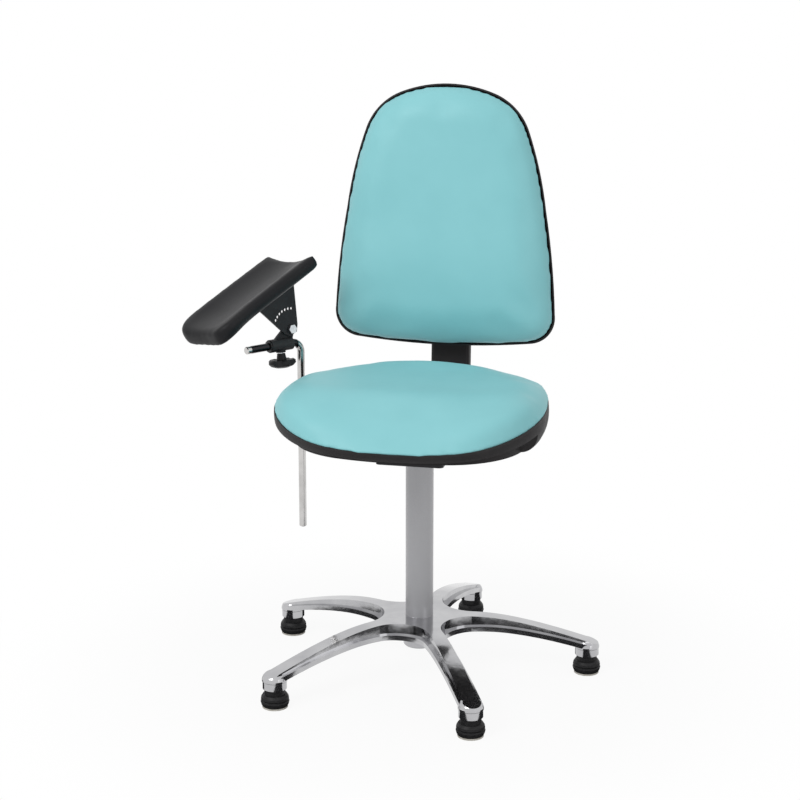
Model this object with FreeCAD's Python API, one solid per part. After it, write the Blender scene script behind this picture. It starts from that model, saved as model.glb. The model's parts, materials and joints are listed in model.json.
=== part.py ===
import FreeCAD, Part
import math
import os
from FreeCAD import Placement, Rotation, Vector

# Phlebotomy chair: a five-star base on glides, a gas column, a padded seat,
# a tall padded backrest and one blood-drawing armrest on a bent rod.
# Millimetres. Origin on the floor under the column axis, +Z up, the sitter
# faces -Y and the armrest is on the sitter's right, at -X.

os.makedirs("parts", exist_ok=True)

# Clearances
seat_fit = 0.05          # fixed pieces that sit in one another
running_fit = 0.06       # radial gap of a shaft in its hole
soft_gap = 0.3           # foam beside a hard piece
overrun = 20.0           # how far a cutting tool runs past the material

# Star base
foot_circle_r = 305.0
foot_count = 5
first_foot_deg = 10.4
hub_top_z = 109.0
hub_bottom_z = 50.0
hub_wall = 4.0
hub_chamfer = 3.0
arm_crown_z = 109.0
arm_depth = 30.0
arm_top_half = 12.5
arm_draft = 3.5
arm_lip = 9.0
arm_lip_half = 20.0
arm_wall = 3.5
arm_rib = 3.0
web_r = 63.0
web_reach = 95.0
socket_r = 21.25
socket_bottom_z = 35.0
nose_r = 22.3
nose_lip_z = 49.0
nose_shoulder_z = 52.0
nose_brow_z = 57.0
nose_brow = 1.7
nose_cheek_z = 61.5
nose_cheek = 5.0
nose_cap_z = 66.0
nose_cap = 11.5
stem_r = 5.5
stem_top_z = 58.0

# Glides
glide_r = 25.2
glide_neck_r = 18.3
sole_r = 22.5
sole_thickness = 3.0
sole_recess = 1.0
glide_foot_r = 21.5
glide_brow_r = 23.6
glide_groove_z = 13.4
glide_groove = 1.3
glide_shoulder_z = 25.0
stem_flange_r = 8.0
stem_flange = 1.6
stem_foot_z = 14.0

# Column
column_r = 25.0
column_wall = 2.2
column_bottom_z = 56.0
column_top_z = 396.0
column_floor = 5.0
lift_travel = 200.0
lift_end_gap = 1.0
bush_flange = 3.0
bush_length = 60.0
lift_tube_r = 14.0
lift_tube_wall = 2.0
lift_tube_bottom_z = 92.0
lift_tube_top_z = 440.0
lift_tube_cap = 6.0
cone_start_z = 408.0
cone_top_r = 13.2
gland_length = 14.0
piston_rod_r = 5.0
piston_neck_r = 4.0
piston_head_r = 11.8
piston_head_length = 12.0
race_r = 11.0
race_thickness = 2.0
ball_r = 1.7
ball_flats = 4
ball_count = 8
ball_gap = 0.2
cage_thickness = 1.4
circlip_thickness = 1.5
circlip_r = 7.0
circlip_open_deg = 60.0

# Seat mechanism
housing_half_x = 60.0
housing_half_y = 92.0
housing_bottom_z = 412.0
housing_wall = 3.0
housing_corner_r = 8.0
plate_half_x = 85.0
plate_half_y = 100.0
plate_thickness = 3.0
pan_bottom_z = 455.0
cone_socket_r = 20.0
cone_socket_bottom_z = 404.0
cone_socket_top_z = 436.0
button_r = 4.0
button_stand = 3.5
button_stem = 12.0
seat_bolt_x = 73.0
seat_bolt_y = 56.0
bolt_r = 4.0
bolt_head_r = 7.0
bolt_head = 4.0

# Height lever
lever_y = -20.0
lever_pivot_x = -42.0
lever_pivot_z = 436.0
lever_pin_r = 3.0
lever_width = 12.0
lever_thickness = 4.0
lever_nose_x = 6.0
lever_out_z = 430.0
lever_crank_x = -66.0
lever_grip_x = -150.0
lever_end_x = -206.0
lever_grip_r = 7.0
lever_boss_r = 5.6
lever_ear = 3.0
lever_slot_half_z = 9.0

# Seat
seat_front_y = -260.0
seat_rear_y = 150.0
seat_half_width = 236.0
seat_wide_y = -80.0
pan_wall = 3.0
board_thickness = 12.0
board_inset = 9.0
parting_front_z = 476.0
parting_knee_z = 516.0
parting_side_z = 523.0
parting_rear_z = 520.0
sitting_z = 550.0
hump_z = 556.0
pan_band = 21.0
pan_lip = 34.0
lobe_y = -110.0
cushion_edge_inset = 3.5

# Back bar
pivot_y = 80.0
pivot_z = 433.0
pivot_pin_r = 5.0
bar_eye_r = 10.0
bar_y = 285.0
bar_width = 50.0
bar_thickness = 6.0
bar_bend_r = 24.0
bar_top_z = 800.0
back_lean_deg = 3.0
cover_half_x = 37.0
cover_half_y = 14.0
cover_wall = 2.5
cover_corner_r = 8.0
cover_bottom_z = 466.0
cover_top_z = 640.0
pivot_knob_r = 19.0
pivot_knob_length = 16.0
pivot_knob_x = 68.0
pivot_knob_flutes = 8

# Backrest
back_bottom_z = 558.0
back_height = 481.0
back_width = 414.0
back_joint_y = 208.0
shell_depth = 34.0
shell_wall = 3.0
shell_boss_r = 9.0
back_board_thickness = 7.0
back_board_inset = 12.0
lumbar_depth = 48.0
back_bow = 4.0
upper_back_depth = 30.0
back_edge_depth = 20.0
carriage_half_x = 34.0
carriage_bottom_z = 655.0
carriage_top_z = 762.0
carriage_rear = 14.0
carriage_flange_x = 58.0
carriage_flange = 4.0
back_bolt_x = 46.0
back_bolt_z = 36.0
back_knob_r = 25.0
back_knob_thickness = 14.0

# Armrest rod and its holder
rod_x = -253.6
rod_y = 132.7
rod_r = 7.0
rod_bottom_z = 216.0
rod_top_z = 574.0
rod_bend_r = 20.0
rod_reach = 125.0
rod_heading_deg = 37.0
rod_chamfer = 1.2
holder_start_x = -92.0
holder_start_y = 76.0
holder_width = 40.0
holder_thickness = 6.0
holder_bolt_pitch = 38.0
holder_bolt_start = 16.0
holder_tube_r = 14.0
holder_tube_bottom_z = 405.0
holder_tube_wall = 5.4
rod_bush_flange = 3.0
holder_knob_z = 425.0
holder_boss_r = 8.0
holder_boss_reach = 23.0
holder_knob_r = 19.0
holder_knob_thickness = 14.0
stud_r = 4.0

# Arm clamp
clamp_roll_deg = 8.0
clamp_start = 23.0
clamp_length = 49.0
clamp_boss_r = 12.0
clamp_bush_wall = 1.3
clamp_bush_flange = 2.5
clamp_bush_flange_r = 10.6
ear_thickness = 6.0
ear_tip_r = 11.0
tilt_bolt_along = 24.0
tilt_bolt_up = 26.0
tilt_bolt_r = 4.0
tilt_bolt_head_r = 7.5
tilt_bolt_head = 4.5
tilt_washer_r = 9.0
tilt_washer = 1.5
star_knob_r = 26.0
star_knob_thickness = 16.0
star_knob_lobes = 5
star_knob_hub_r = 7.5
star_knob_gap = 2.0
star_knob_hub = 11.0

# Arm pad
pad_pitch_deg = 25.0
pad_width = 150.0
pad_length = 237.0
pad_nose_start = 158.0
pad_behind_bolt = 66.0
pad_above_bolt = 86.0
pad_rim = 30.0
pad_floor = 15.0
pad_core_thickness = 4.0
pad_core_width = 70.0
pad_core_margin = 18.0
bracket_thickness = 4.0
bracket_flange_length = 94.0
bracket_centre = -3.0
bracket_foot_half = 17.0
bracket_flange_width = 44.0
bracket_tip_r = 10.5
index_hole_r = 2.8
index_arc_r = 38.0
index_count = 7
index_step_deg = 11.0
pad_screw_r = 2.5


def along(direction, length):
    return Vector(direction).multiply(length)


def cylinder(radius, height, base=Vector(0, 0, 0), axis=Vector(0, 0, 1)):
    return Part.makeCylinder(radius, height, base, axis)


def ring(outer_r, inner_r, height, base=Vector(0, 0, 0), axis=Vector(0, 0, 1)):
    step = along(axis, height)
    hole = cylinder(inner_r, 3 * height, base - step, axis)
    return cylinder(outer_r, height, base, axis).cut(hole)


def block(x_range, y_range, z_range):
    size = [high - low for low, high in (x_range, y_range, z_range)]
    return Part.makeBox(*size, Vector(x_range[0], y_range[0], z_range[0]))


def group(shapes):
    return Part.makeCompound(shapes)


def joined(first, *others):
    return first.fuse(list(others)).removeSplitter()


def turned(profile):
    """A solid of revolution about Z from (radius, height) points."""
    points = [Vector(radius, 0, height) for radius, height in profile]
    face = Part.Face(Part.makePolygon(points + points[:1]))
    return face.revolve(Vector(0, 0, 0), Vector(0, 0, 1), 360)


def spun(edges):
    """A solid of revolution about Z from a closed run of edges at y = 0."""
    return Part.Face(Part.Wire(edges)).revolve(Vector(0, 0, 0), Vector(0, 0, 1), 360)


def upright_hole(radius, depth, place):
    """Cutting tool for a vertical hole that runs through what is at place."""
    return cylinder(radius, 2 * depth, place - Vector(0, 0, depth))


def arc_through(points):
    return Part.Arc(*points).toShape()


def line_through(start, end):
    return Part.LineSegment(start, end).toShape()


def plate(points, thickness, normal):
    """A flat piece from a closed list of corners, thickened along normal."""
    face = Part.Face(Part.makePolygon(points + points[:1]))
    return face.extrude(along(normal, thickness))


def rounded_box(half_x, half_y, bottom_z, top_z, corner_r, centre_y=0.0):
    body = block((-half_x, half_x), (centre_y - half_y, centre_y + half_y), (bottom_z, top_z))
    uprights = [edge for edge in body.Edges if abs(edge.tangentAt(edge.FirstParameter).z) > 0.5]
    return body.makeFillet(corner_r, uprights)


def around(shape, index, count, start_deg=0.0):
    turned_copy = shape.copy()
    turned_copy.rotate(Vector(0, 0, 0), Vector(0, 0, 1), start_deg + 360.0 * index / count)
    return turned_copy


def stood(shape, base, axis):
    """Moves a shape made along +Z so that it stands on base along axis."""
    moved = shape.copy()
    moved.Placement = Placement(base, Rotation(Vector(0, 0, 1), axis)).multiply(moved.Placement)
    return moved


def layered(outline, layers, step):
    """A closed loft through ever more drawn-in outlines set out along step."""
    wires = []
    for inset, height in layers:
        wire = outline(inset)
        wire.translate(along(step, height))
        wires.append(wire)
    return Part.makeLoft(wires, True, False)


def star_knob(radius, thickness, lobes, hub_r, hub_length, stem_r, stem_length):
    """A lobed clamping knob: dished disc below z=0, hub and steel stud up."""
    skirt_r = 1.25 * hub_r
    disc = turned(
        (
            (0, -thickness),
            (radius * 0.45, -thickness * 0.96),
            (radius * 0.80, -thickness * 0.76),
            (radius, -thickness * 0.45),
            (radius * 0.98, -thickness * 0.15),
            (radius * 0.86, 0),
            (radius * 0.60, -thickness * 0.15),
            (skirt_r, -thickness * 0.25),
            (0, -thickness * 0.25),
        )
    )
    notch_r = radius * 0.42
    notch_at = radius * 1.18
    for index in range(lobes):
        angle = math.radians(360.0 * (index + 0.5) / lobes)
        centre = Vector(notch_at * math.cos(angle), notch_at * math.sin(angle), 0)
        disc = disc.cut(upright_hole(notch_r, 2 * thickness, centre))
    skirt = cylinder(skirt_r, thickness / 2, Vector(0, 0, -thickness / 2))
    hub = Part.makeCone(skirt_r, hub_r, hub_length, Vector(0, 0, 0))
    stud = cylinder(stem_r, stem_length + thickness / 2, Vector(0, 0, -thickness / 2))
    head = joined(disc, skirt, hub)
    return head.cut(cylinder(stem_r, hub_length + thickness, Vector(0, 0, -thickness / 2))), stud


# Star base

arm_radius_share = (0.0, 0.186, 0.391, 0.578, 0.746, 0.867, 1.02)
arm_crown_share = (1.0, 1.0, 0.98, 0.885, 0.755, 0.645, 0.497)
arm_depth_share = (1.0, 0.98, 0.82, 0.68, 0.57, 0.51, 0.455)
rib_place_share = (0.36, 0.56, 0.76)


def curve_through(points):
    curve = Part.BSplineCurve()
    curve.interpolate(points)
    return curve.toShape()


def arched(above, below):
    """A ring about the column between two arches, each a count of depths and a drop under the crown."""
    reach = foot_circle_r + nose_r
    runs = []
    for depths, drop in (above, below):
        points = []
        for at, crown, depth in zip(arm_radius_share, arm_crown_share, arm_depth_share):
            points.append(Vector(at * reach, 0, crown * arm_crown_z - depths * depth * arm_depth - drop))
        runs.append(points)
    high, low = runs
    edges = [
        curve_through(high),
        line_through(high[-1], low[-1]),
        curve_through(low[::-1]),
        line_through(low[0], high[0]),
    ]
    return spun(edges)


def star_outline(half, z):
    """Plan of the star at one height: round-ended arms joined by hollow arcs."""
    wider = half - arm_top_half
    step = 2 * math.pi / foot_count
    edges = []
    for index in range(foot_count):
        angle = math.radians(first_foot_deg) + index * step
        out = Vector(math.cos(angle), math.sin(angle), 0)
        side = Vector(-out.y, out.x, 0)
        lift = Vector(0, 0, z)
        root, tip = along(out, web_reach) + lift, along(out, foot_circle_r) + lift
        next_out = Vector(math.cos(angle + step), math.sin(angle + step), 0)
        next_side = Vector(-next_out.y, next_out.x, 0)
        middle = angle + step / 2
        hollow = Vector((web_r + wider) * math.cos(middle), (web_r + wider) * math.sin(middle), z)
        edges += [
            line_through(root - along(side, half), tip - along(side, half)),
            arc_through((tip - along(side, half), tip + along(out, half), tip + along(side, half))),
            line_through(tip + along(side, half), root + along(side, half)),
            arc_through(
                (
                    root + along(side, half),
                    hollow,
                    along(next_out, web_reach) + lift - along(next_side, half),
                )
            ),
        ]
    return Part.Wire(edges)


def star_prism(top_half, foot_half):
    top = star_outline(top_half, arm_crown_z + overrun)
    foot = star_outline(foot_half, 0)
    return Part.makeLoft([foot, top], True, True)


def make_star_body():
    """Five arched arms round a plateau: drafted walls standing on a wider lip."""
    walls = star_prism(arm_top_half, arm_top_half + arm_draft).common(arched((0, 0), (1, 0)))
    lip = star_prism(arm_lip_half, arm_lip_half).common(arched((1, -arm_lip), (1, 0)))
    return walls.fuse(lip)


def make_star_hollow():
    """The pocket under the plateau and arms, outside the boss and between the ribs."""
    inner = star_prism(arm_top_half - arm_wall, arm_top_half + arm_draft - arm_wall)
    hollow = inner.common(arched((0, arm_wall), (1, overrun)))
    keep = cylinder(foot_circle_r - nose_r - arm_wall, arm_crown_z)
    hollow = hollow.common(keep.cut(cylinder(column_r + hub_wall, arm_crown_z)))
    ribs = []
    for place in rib_place_share:
        rib_r = place * foot_circle_r
        ribs.append(ring(rib_r + arm_rib, rib_r, arm_crown_z))
    return hollow.cut(ribs)


def make_nose():
    """Rounded end of an arm under the arms' arch, with the socket for the glide below."""
    bulb = turned(
        (
            (0, nose_lip_z - hub_chamfer),
            (nose_r - hub_chamfer, nose_lip_z - hub_chamfer),
            (nose_r, nose_lip_z),
            (nose_r, nose_shoulder_z),
            (nose_r - nose_brow, nose_brow_z),
            (nose_r - nose_cheek, nose_cheek_z),
            (nose_r - nose_cap, nose_cap_z),
            (0, nose_cap_z),
        )
    )
    bulb.translate(Vector(foot_circle_r, 0, 0))
    bulb = bulb.common(arched((0, 0), (1, arm_crown_z)))
    socket_depth = nose_lip_z - socket_bottom_z
    return bulb.fuse(cylinder(socket_r, socket_depth, Vector(foot_circle_r, 0, socket_bottom_z)))


def make_star_base():
    """Hollow casting: hub plateau, five arms, and a boss for the column."""
    boss = turned(
        (
            (0, hub_bottom_z),
            (column_r + hub_wall - hub_chamfer, hub_bottom_z),
            (column_r + hub_wall, hub_bottom_z + hub_chamfer),
            (column_r + hub_wall, hub_top_z - hub_chamfer),
            (column_r + hub_wall / 2, hub_top_z),
            (0, hub_top_z),
        )
    )
    nose = make_nose()
    bore = upright_hole(
        stem_r + seat_fit, stem_top_z - socket_bottom_z, Vector(foot_circle_r, 0, socket_bottom_z)
    )
    turns = range(foot_count)
    base = make_star_body().cut(make_star_hollow())
    base = base.fuse([boss] + [around(nose, index, foot_count, first_foot_deg) for index in turns])
    base = base.cut([around(bore, index, foot_count, first_foot_deg) for index in turns])
    base = base.cut(cylinder(column_r + seat_fit, hub_top_z, Vector(0, 0, column_bottom_z - seat_fit)))
    base = base.cut(cylinder(circlip_r + hub_wall, column_bottom_z, Vector(0, 0, 0)))
    return base.removeSplitter()


def make_glide():
    """Moulded glide: a round foot with one groove, a brow and a neck."""
    foot_z = sole_thickness - sole_recess
    groove_top_z = glide_groove_z + 2 * glide_groove
    profile = (
        (0, foot_z),
        (glide_foot_r, foot_z),
        (glide_r - glide_groove, foot_z + 3 * glide_groove),
        (glide_r, glide_groove_z - 2 * glide_groove),
        (glide_r - glide_groove / 2, glide_groove_z),
        (glide_r - 2 * glide_groove, glide_groove_z + glide_groove),
        (glide_r - glide_groove / 2, groove_top_z),
        (glide_r - glide_groove, groove_top_z + 3 * glide_groove),
        (glide_brow_r - 2 * glide_groove, glide_shoulder_z - glide_groove / 2),
        (glide_neck_r, glide_shoulder_z),
        (glide_neck_r, socket_bottom_z),
        (0, socket_bottom_z),
    )
    body = turned(profile)
    body = body.cut(cylinder(stem_r + seat_fit, socket_bottom_z, Vector(0, 0, stem_foot_z)))
    flange_pocket = cylinder(stem_flange_r + seat_fit, stem_flange + seat_fit, Vector(0, 0, stem_foot_z))
    body = body.cut(flange_pocket)
    return body.cut(cylinder(sole_r + seat_fit, sole_thickness, Vector(0, 0, 0)))


def make_glide_stem():
    flange = cylinder(stem_flange_r, stem_flange, Vector(0, 0, stem_foot_z))
    shank = cylinder(stem_r, stem_top_z - stem_foot_z - hub_chamfer / 3, Vector(0, 0, stem_foot_z))
    return joined(shank, flange)


def export_base():
    make_star_base().exportStep("parts/star_base.step")
    place = Vector(foot_circle_r, 0, 0)
    glide = make_glide()
    glide.translate(place)
    stem = make_glide_stem()
    stem.translate(place)
    sole = cylinder(sole_r, sole_thickness, place)
    stems = []
    soles = []
    for index in range(foot_count):
        around(glide, index, foot_count, first_foot_deg).exportStep("parts/glide_%d.step" % (index + 1))
        stems.append(around(stem, index, foot_count, first_foot_deg))
        soles.append(around(sole, index, foot_count, first_foot_deg))
    group(stems).exportStep("parts/glide_stems.step")
    group(soles).exportStep("parts/glide_soles.step")


# Column

bearing_floor_z = column_bottom_z + column_floor
bearing_height = 2 * race_thickness + 2 * ball_r + 2 * ball_gap
shoulder_z = bearing_floor_z + bearing_height


def make_column_tube():
    tube = ring(
        column_r, column_r - column_wall, column_top_z - column_bottom_z, Vector(0, 0, column_bottom_z)
    )
    floor = cylinder(column_r - column_wall, column_floor, Vector(0, 0, column_bottom_z))
    tube = joined(tube, floor)
    return tube.cut(
        cylinder(
            piston_neck_r + running_fit, 3 * column_floor, Vector(0, 0, column_bottom_z - column_floor)
        )
    )


def make_guide_bush():
    inner_r = lift_tube_r + running_fit
    outer_r = column_r - column_wall - seat_fit
    sleeve = ring(outer_r, inner_r, bush_length, Vector(0, 0, column_top_z - bush_length))
    flange = ring(column_r, inner_r, bush_flange, Vector(0, 0, column_top_z))
    relief = ring(
        outer_r,
        outer_r - bush_flange / 2,
        bush_length / 3,
        Vector(0, 0, column_top_z - 2 * bush_length / 3),
    )
    return joined(sleeve, flange).cut(relief)


def ball_profile():
    """Half outline of a bearing ball, in a few flats."""
    turns = [math.pi * flat / ball_flats for flat in range(ball_flats + 1)]
    return [(ball_r * math.sin(turn), -ball_r * math.cos(turn)) for turn in turns]


def make_bearing():
    inner_r = piston_neck_r + running_fit
    lower = ring(race_r, inner_r, race_thickness, Vector(0, 0, bearing_floor_z))
    upper = ring(race_r, inner_r, race_thickness, Vector(0, 0, shoulder_z - race_thickness))
    ball_z = bearing_floor_z + race_thickness + ball_gap + ball_r
    ball_circle_r = (race_r + inner_r) / 2
    cage = ring(
        race_r - ball_gap, inner_r + ball_gap, cage_thickness, Vector(0, 0, ball_z - cage_thickness / 2)
    )
    balls = []
    for index in range(ball_count):
        angle = 2 * math.pi * index / ball_count
        centre = Vector(ball_circle_r * math.cos(angle), ball_circle_r * math.sin(angle), ball_z)
        cage = cage.cut(cylinder(ball_r + ball_gap / 2, 2 * race_r, centre - Vector(0, 0, race_r)))
        ball = turned(ball_profile())
        ball.translate(centre)
        balls.append(ball)
    return lower, upper, group([cage] + balls)


def make_piston_rod():
    """Rod from the circlip under the column up to the piston head."""
    head_z = lift_tube_bottom_z + lift_travel + gland_length + lift_end_gap + piston_head_length
    rod = turned(
        (
            (0, hub_bottom_z + hub_chamfer / 3),
            (piston_neck_r, hub_bottom_z + hub_chamfer / 3),
            (piston_neck_r, shoulder_z),
            (piston_rod_r, shoulder_z),
            (piston_rod_r, head_z),
            (0, head_z),
        )
    )
    groove_r = piston_neck_r - circlip_thickness / 3
    clip_z = column_bottom_z - circlip_thickness - running_fit
    groove = ring(piston_rod_r, groove_r, circlip_thickness + running_fit, Vector(0, 0, clip_z))
    head = ring(
        piston_head_r,
        piston_rod_r + seat_fit,
        piston_head_length,
        Vector(0, 0, head_z - piston_head_length),
    )
    clip = ring(circlip_r, groove_r + seat_fit, circlip_thickness, Vector(0, 0, clip_z))
    mouth_half = circlip_r * math.tan(math.radians(circlip_open_deg / 2))
    mouth = plate(
        [
            Vector(0, 0, 0),
            Vector(2 * circlip_r, -2 * mouth_half, 0),
            Vector(2 * circlip_r, 2 * mouth_half, 0),
        ],
        column_bottom_z,
        Vector(0, 0, 1),
    )
    return rod.cut(groove), head, clip.cut(mouth)


def cone_outline(gap):
    """Radius and height points of the cone at the top of the lift tube."""
    return (lift_tube_r + gap, cone_start_z), (cone_top_r + gap, lift_tube_top_z)


def make_pressure_tube():
    inner_r = lift_tube_r - lift_tube_wall
    wide, narrow = cone_outline(0.0)
    tube = turned(
        (
            (inner_r, lift_tube_bottom_z),
            (lift_tube_r, lift_tube_bottom_z),
            wide,
            narrow,
            (button_r + running_fit, lift_tube_top_z),
            (button_r + running_fit, lift_tube_top_z - lift_tube_cap),
            (inner_r - lift_tube_wall, lift_tube_top_z - lift_tube_cap),
            (inner_r, cone_start_z),
        )
    )
    gland = ring(
        inner_r - seat_fit, piston_rod_r + running_fit, gland_length, Vector(0, 0, lift_tube_bottom_z)
    )
    return tube, gland


def make_release_button():
    height = button_stand + button_stem
    button = cylinder(button_r, height, Vector(0, 0, lift_tube_top_z - button_stem))
    return button.makeChamfer(button_r / 6, [button.Edges[0]])


def export_column():
    make_column_tube().exportStep("parts/column_tube.step")
    make_guide_bush().exportStep("parts/guide_bush.step")
    lower, upper, cage = make_bearing()
    lower.exportStep("parts/bearing_lower_race.step")
    upper.exportStep("parts/bearing_upper_race.step")
    cage.exportStep("parts/bearing_cage.step")
    rod, head, clip = make_piston_rod()
    rod.exportStep("parts/piston_rod.step")
    head.exportStep("parts/piston_head.step")
    clip.exportStep("parts/circlip.step")
    tube, gland = make_pressure_tube()
    tube.exportStep("parts/pressure_tube.step")
    gland.exportStep("parts/tube_gland.step")
    make_release_button().exportStep("parts/release_button.step")


# Seat mechanism

plate_bottom_z = pan_bottom_z - plate_thickness


def make_mechanism_housing():
    """Pressed tray: floor, four walls, lever window, bar window, pin holes."""
    outer = rounded_box(housing_half_x, housing_half_y, housing_bottom_z, plate_bottom_z, housing_corner_r)
    inner = rounded_box(
        housing_half_x - housing_wall,
        housing_half_y - housing_wall,
        housing_bottom_z + housing_wall,
        plate_bottom_z + overrun,
        housing_corner_r - housing_wall,
    )
    tray = outer.cut(inner)
    ear_half_x = lever_boss_r
    for side in (-1, 1):
        ear_y = lever_y + side * (lever_width / 2 + lever_ear / 2 + 2 * running_fit)
        ear = block(
            (lever_pivot_x - ear_half_x, lever_pivot_x + ear_half_x),
            (ear_y - lever_ear / 2, ear_y + lever_ear / 2),
            (housing_bottom_z + housing_wall, lever_pivot_z + lever_boss_r),
        )
        tray = tray.fuse(ear)
    tray = tray.cut(
        cylinder(cone_socket_r + seat_fit, 3 * housing_wall, Vector(0, 0, housing_bottom_z - housing_wall))
    )
    lever_window = block(
        (-housing_half_x - overrun, -housing_half_x + overrun / 2),
        (lever_y - lever_width, lever_y + lever_width),
        (lever_pivot_z - lever_slot_half_z - lever_thickness, lever_pivot_z + lever_slot_half_z),
    )
    bar_window = block(
        (-bar_width / 2 - housing_wall, bar_width / 2 + housing_wall),
        (housing_half_y - housing_wall - overrun / 2, housing_half_y + overrun),
        (pivot_z - 2 * bar_thickness, pivot_z + 2 * bar_thickness),
    )
    pivot_start = Vector(-1.5 * housing_half_x, pivot_y, pivot_z)
    pivot_hole = cylinder(pivot_pin_r + running_fit, 3 * housing_half_x, pivot_start, Vector(1, 0, 0))
    pin_start = Vector(lever_pivot_x, lever_y - 2 * lever_width, lever_pivot_z)
    lever_hole = cylinder(lever_pin_r + seat_fit, 2 * lever_width + overrun, pin_start, Vector(0, 1, 0))
    lever_hole = lever_hole.common(
        block(
            (-housing_half_x, 0),
            (-housing_half_y + 2 * housing_wall, housing_half_y),
            (housing_bottom_z, pan_bottom_z),
        )
    )
    return tray.cut([lever_window, bar_window, pivot_hole, lever_hole]).removeSplitter()


def bolt_places():
    return [Vector(x, y, 0) for x in (-seat_bolt_x, seat_bolt_x) for y in (-seat_bolt_y, seat_bolt_y)]


def holder_direction():
    run = Vector(rod_x - holder_start_x, rod_y - holder_start_y, 0)
    return run.normalize()


def holder_bolt_places():
    start = Vector(holder_start_x, holder_start_y, 0)
    step = holder_direction()
    return [start + along(step, holder_bolt_start + index * holder_bolt_pitch) for index in range(2)]


def make_mechanism_plate():
    sheet = rounded_box(plate_half_x, plate_half_y, plate_bottom_z, pan_bottom_z, housing_corner_r)
    holes = [
        cylinder(
            bolt_r + seat_fit,
            3 * plate_thickness,
            place + Vector(0, 0, plate_bottom_z - plate_thickness),
        )
        for place in bolt_places()
    ]
    return sheet.cut(holes)


def make_cone_socket():
    wide, narrow = cone_outline(seat_fit)
    slope = (wide[0] - narrow[0]) / (narrow[1] - wide[1])
    top_r = wide[0] - slope * (cone_socket_top_z - wide[1])
    return turned(
        (
            (wide[0], cone_socket_bottom_z),
            (cone_socket_r, cone_socket_bottom_z),
            (cone_socket_r, cone_socket_top_z),
            (top_r, cone_socket_top_z),
            (wide[0], wide[1]),
        )
    )


def bolt(shank_length, underside):
    """A bolt with its head below underside and its shank upwards."""
    head = cylinder(bolt_head_r, bolt_head, underside - Vector(0, 0, bolt_head))
    socket = cylinder(bolt_r * 0.7, bolt_head, underside - Vector(0, 0, 1.5 * bolt_head))
    return joined(head, cylinder(bolt_r, shank_length, underside)).cut(socket)


def make_seat_bolts():
    length = plate_thickness + pan_wall + board_thickness * 0.8
    bolts = [bolt(length, place + Vector(0, 0, plate_bottom_z)) for place in bolt_places()]
    holder_z = pan_bottom_z - holder_thickness
    length = holder_thickness + pan_wall + board_thickness * 0.8
    bolts += [bolt(length, place + Vector(0, 0, holder_z)) for place in holder_bolt_places()]
    return group(bolts)


def export_mechanism():
    make_mechanism_housing().exportStep("parts/mechanism_housing.step")
    make_mechanism_plate().exportStep("parts/mechanism_plate.step")
    make_cone_socket().exportStep("parts/cone_socket.step")
    make_seat_bolts().exportStep("parts/seat_bolts.step")
    pin_half = lever_width / 2 + 2 * running_fit + lever_ear
    pin = cylinder(
        lever_pin_r,
        2 * pin_half,
        Vector(lever_pivot_x, lever_y - pin_half, lever_pivot_z),
        Vector(0, 1, 0),
    )
    pin.exportStep("parts/lever_pin.step")


# Height lever

button_top_z = lift_tube_top_z + button_stand


def make_lever():
    """Cranked flat lever: a nose over the button, a pivot boss, a tail."""
    nose_low = button_top_z + running_fit
    nose_high = nose_low + lever_thickness
    out_low = lever_out_z - lever_thickness / 2
    out_high = lever_out_z + lever_thickness / 2
    boss_left = lever_pivot_x - lever_boss_r
    points = [
        (lever_nose_x, nose_low),
        (lever_nose_x, nose_high),
        (boss_left, nose_high),
        (lever_crank_x, out_high),
        (lever_end_x + lever_grip_r, out_high),
        (lever_end_x + lever_grip_r, out_low),
        (lever_crank_x, out_low),
        (boss_left + lever_thickness, nose_low - lever_thickness),
        (lever_pivot_x + lever_boss_r, nose_low),
    ]
    low_y = lever_y - lever_width / 2
    body = plate([Vector(x, low_y, z) for x, z in points], lever_width, Vector(0, 1, 0))
    boss = cylinder(lever_boss_r, lever_width, Vector(lever_pivot_x, low_y, lever_pivot_z), Vector(0, 1, 0))
    body = joined(body, boss)
    hole = cylinder(
        lever_pin_r + running_fit,
        3 * lever_width,
        Vector(lever_pivot_x, low_y - lever_width, lever_pivot_z),
        Vector(0, 1, 0),
    )
    return body.cut(hole)


def make_lever_grip():
    length = lever_grip_x - lever_end_x
    outer = Part.makeBox(length, 2.2 * lever_width, 2 * lever_grip_r)
    outer.translate(Vector(lever_end_x, lever_y - 1.1 * lever_width, lever_out_z - lever_grip_r))
    outer = outer.makeFillet(
        lever_grip_r * 0.8, [edge for edge in outer.Edges if edge.BoundBox.XLength > length / 2]
    )
    slot = block(
        (lever_end_x + lever_grip_r - seat_fit, lever_grip_x + overrun),
        (lever_y - lever_width / 2 - seat_fit, lever_y + lever_width / 2 + seat_fit),
        (lever_out_z - lever_thickness / 2 - seat_fit, lever_out_z + lever_thickness / 2 + seat_fit),
    )
    return outer.cut(slot)


def export_lever():
    make_lever().exportStep("parts/height_lever.step")
    make_lever_grip().exportStep("parts/lever_grip.step")


# Seat

seat_length = seat_rear_y - seat_front_y
front_corner_share = (0.50, 0.035)
front_bow_share = (0.84, 0.165)
rear_side_share = (0.905, 0.775)
rear_bow_share = (0.765, 0.915)
rear_corner_share = (0.47, 0.985)
side_mid_share = (0.98, 0.61)
wide_share = (1.0, (seat_wide_y - seat_front_y) / seat_length)


def closed_outline(point, end, stations, far_end):
    """A mirror-symmetric loop of arcs; point places a share on one side."""
    start = stations[0][0]
    last = stations[-1][-1]
    edges = [arc_through((point(start, -1), point(end, 1), point(start, 1)))]
    edges += [arc_through([point(share, 1) for share in three]) for three in stations]
    edges.append(arc_through((point(last, 1), point(far_end, 1), point(last, -1))))
    edges += [arc_through([point(share, -1) for share in reversed(three)]) for three in reversed(stations)]
    return Part.Wire(edges)


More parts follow.
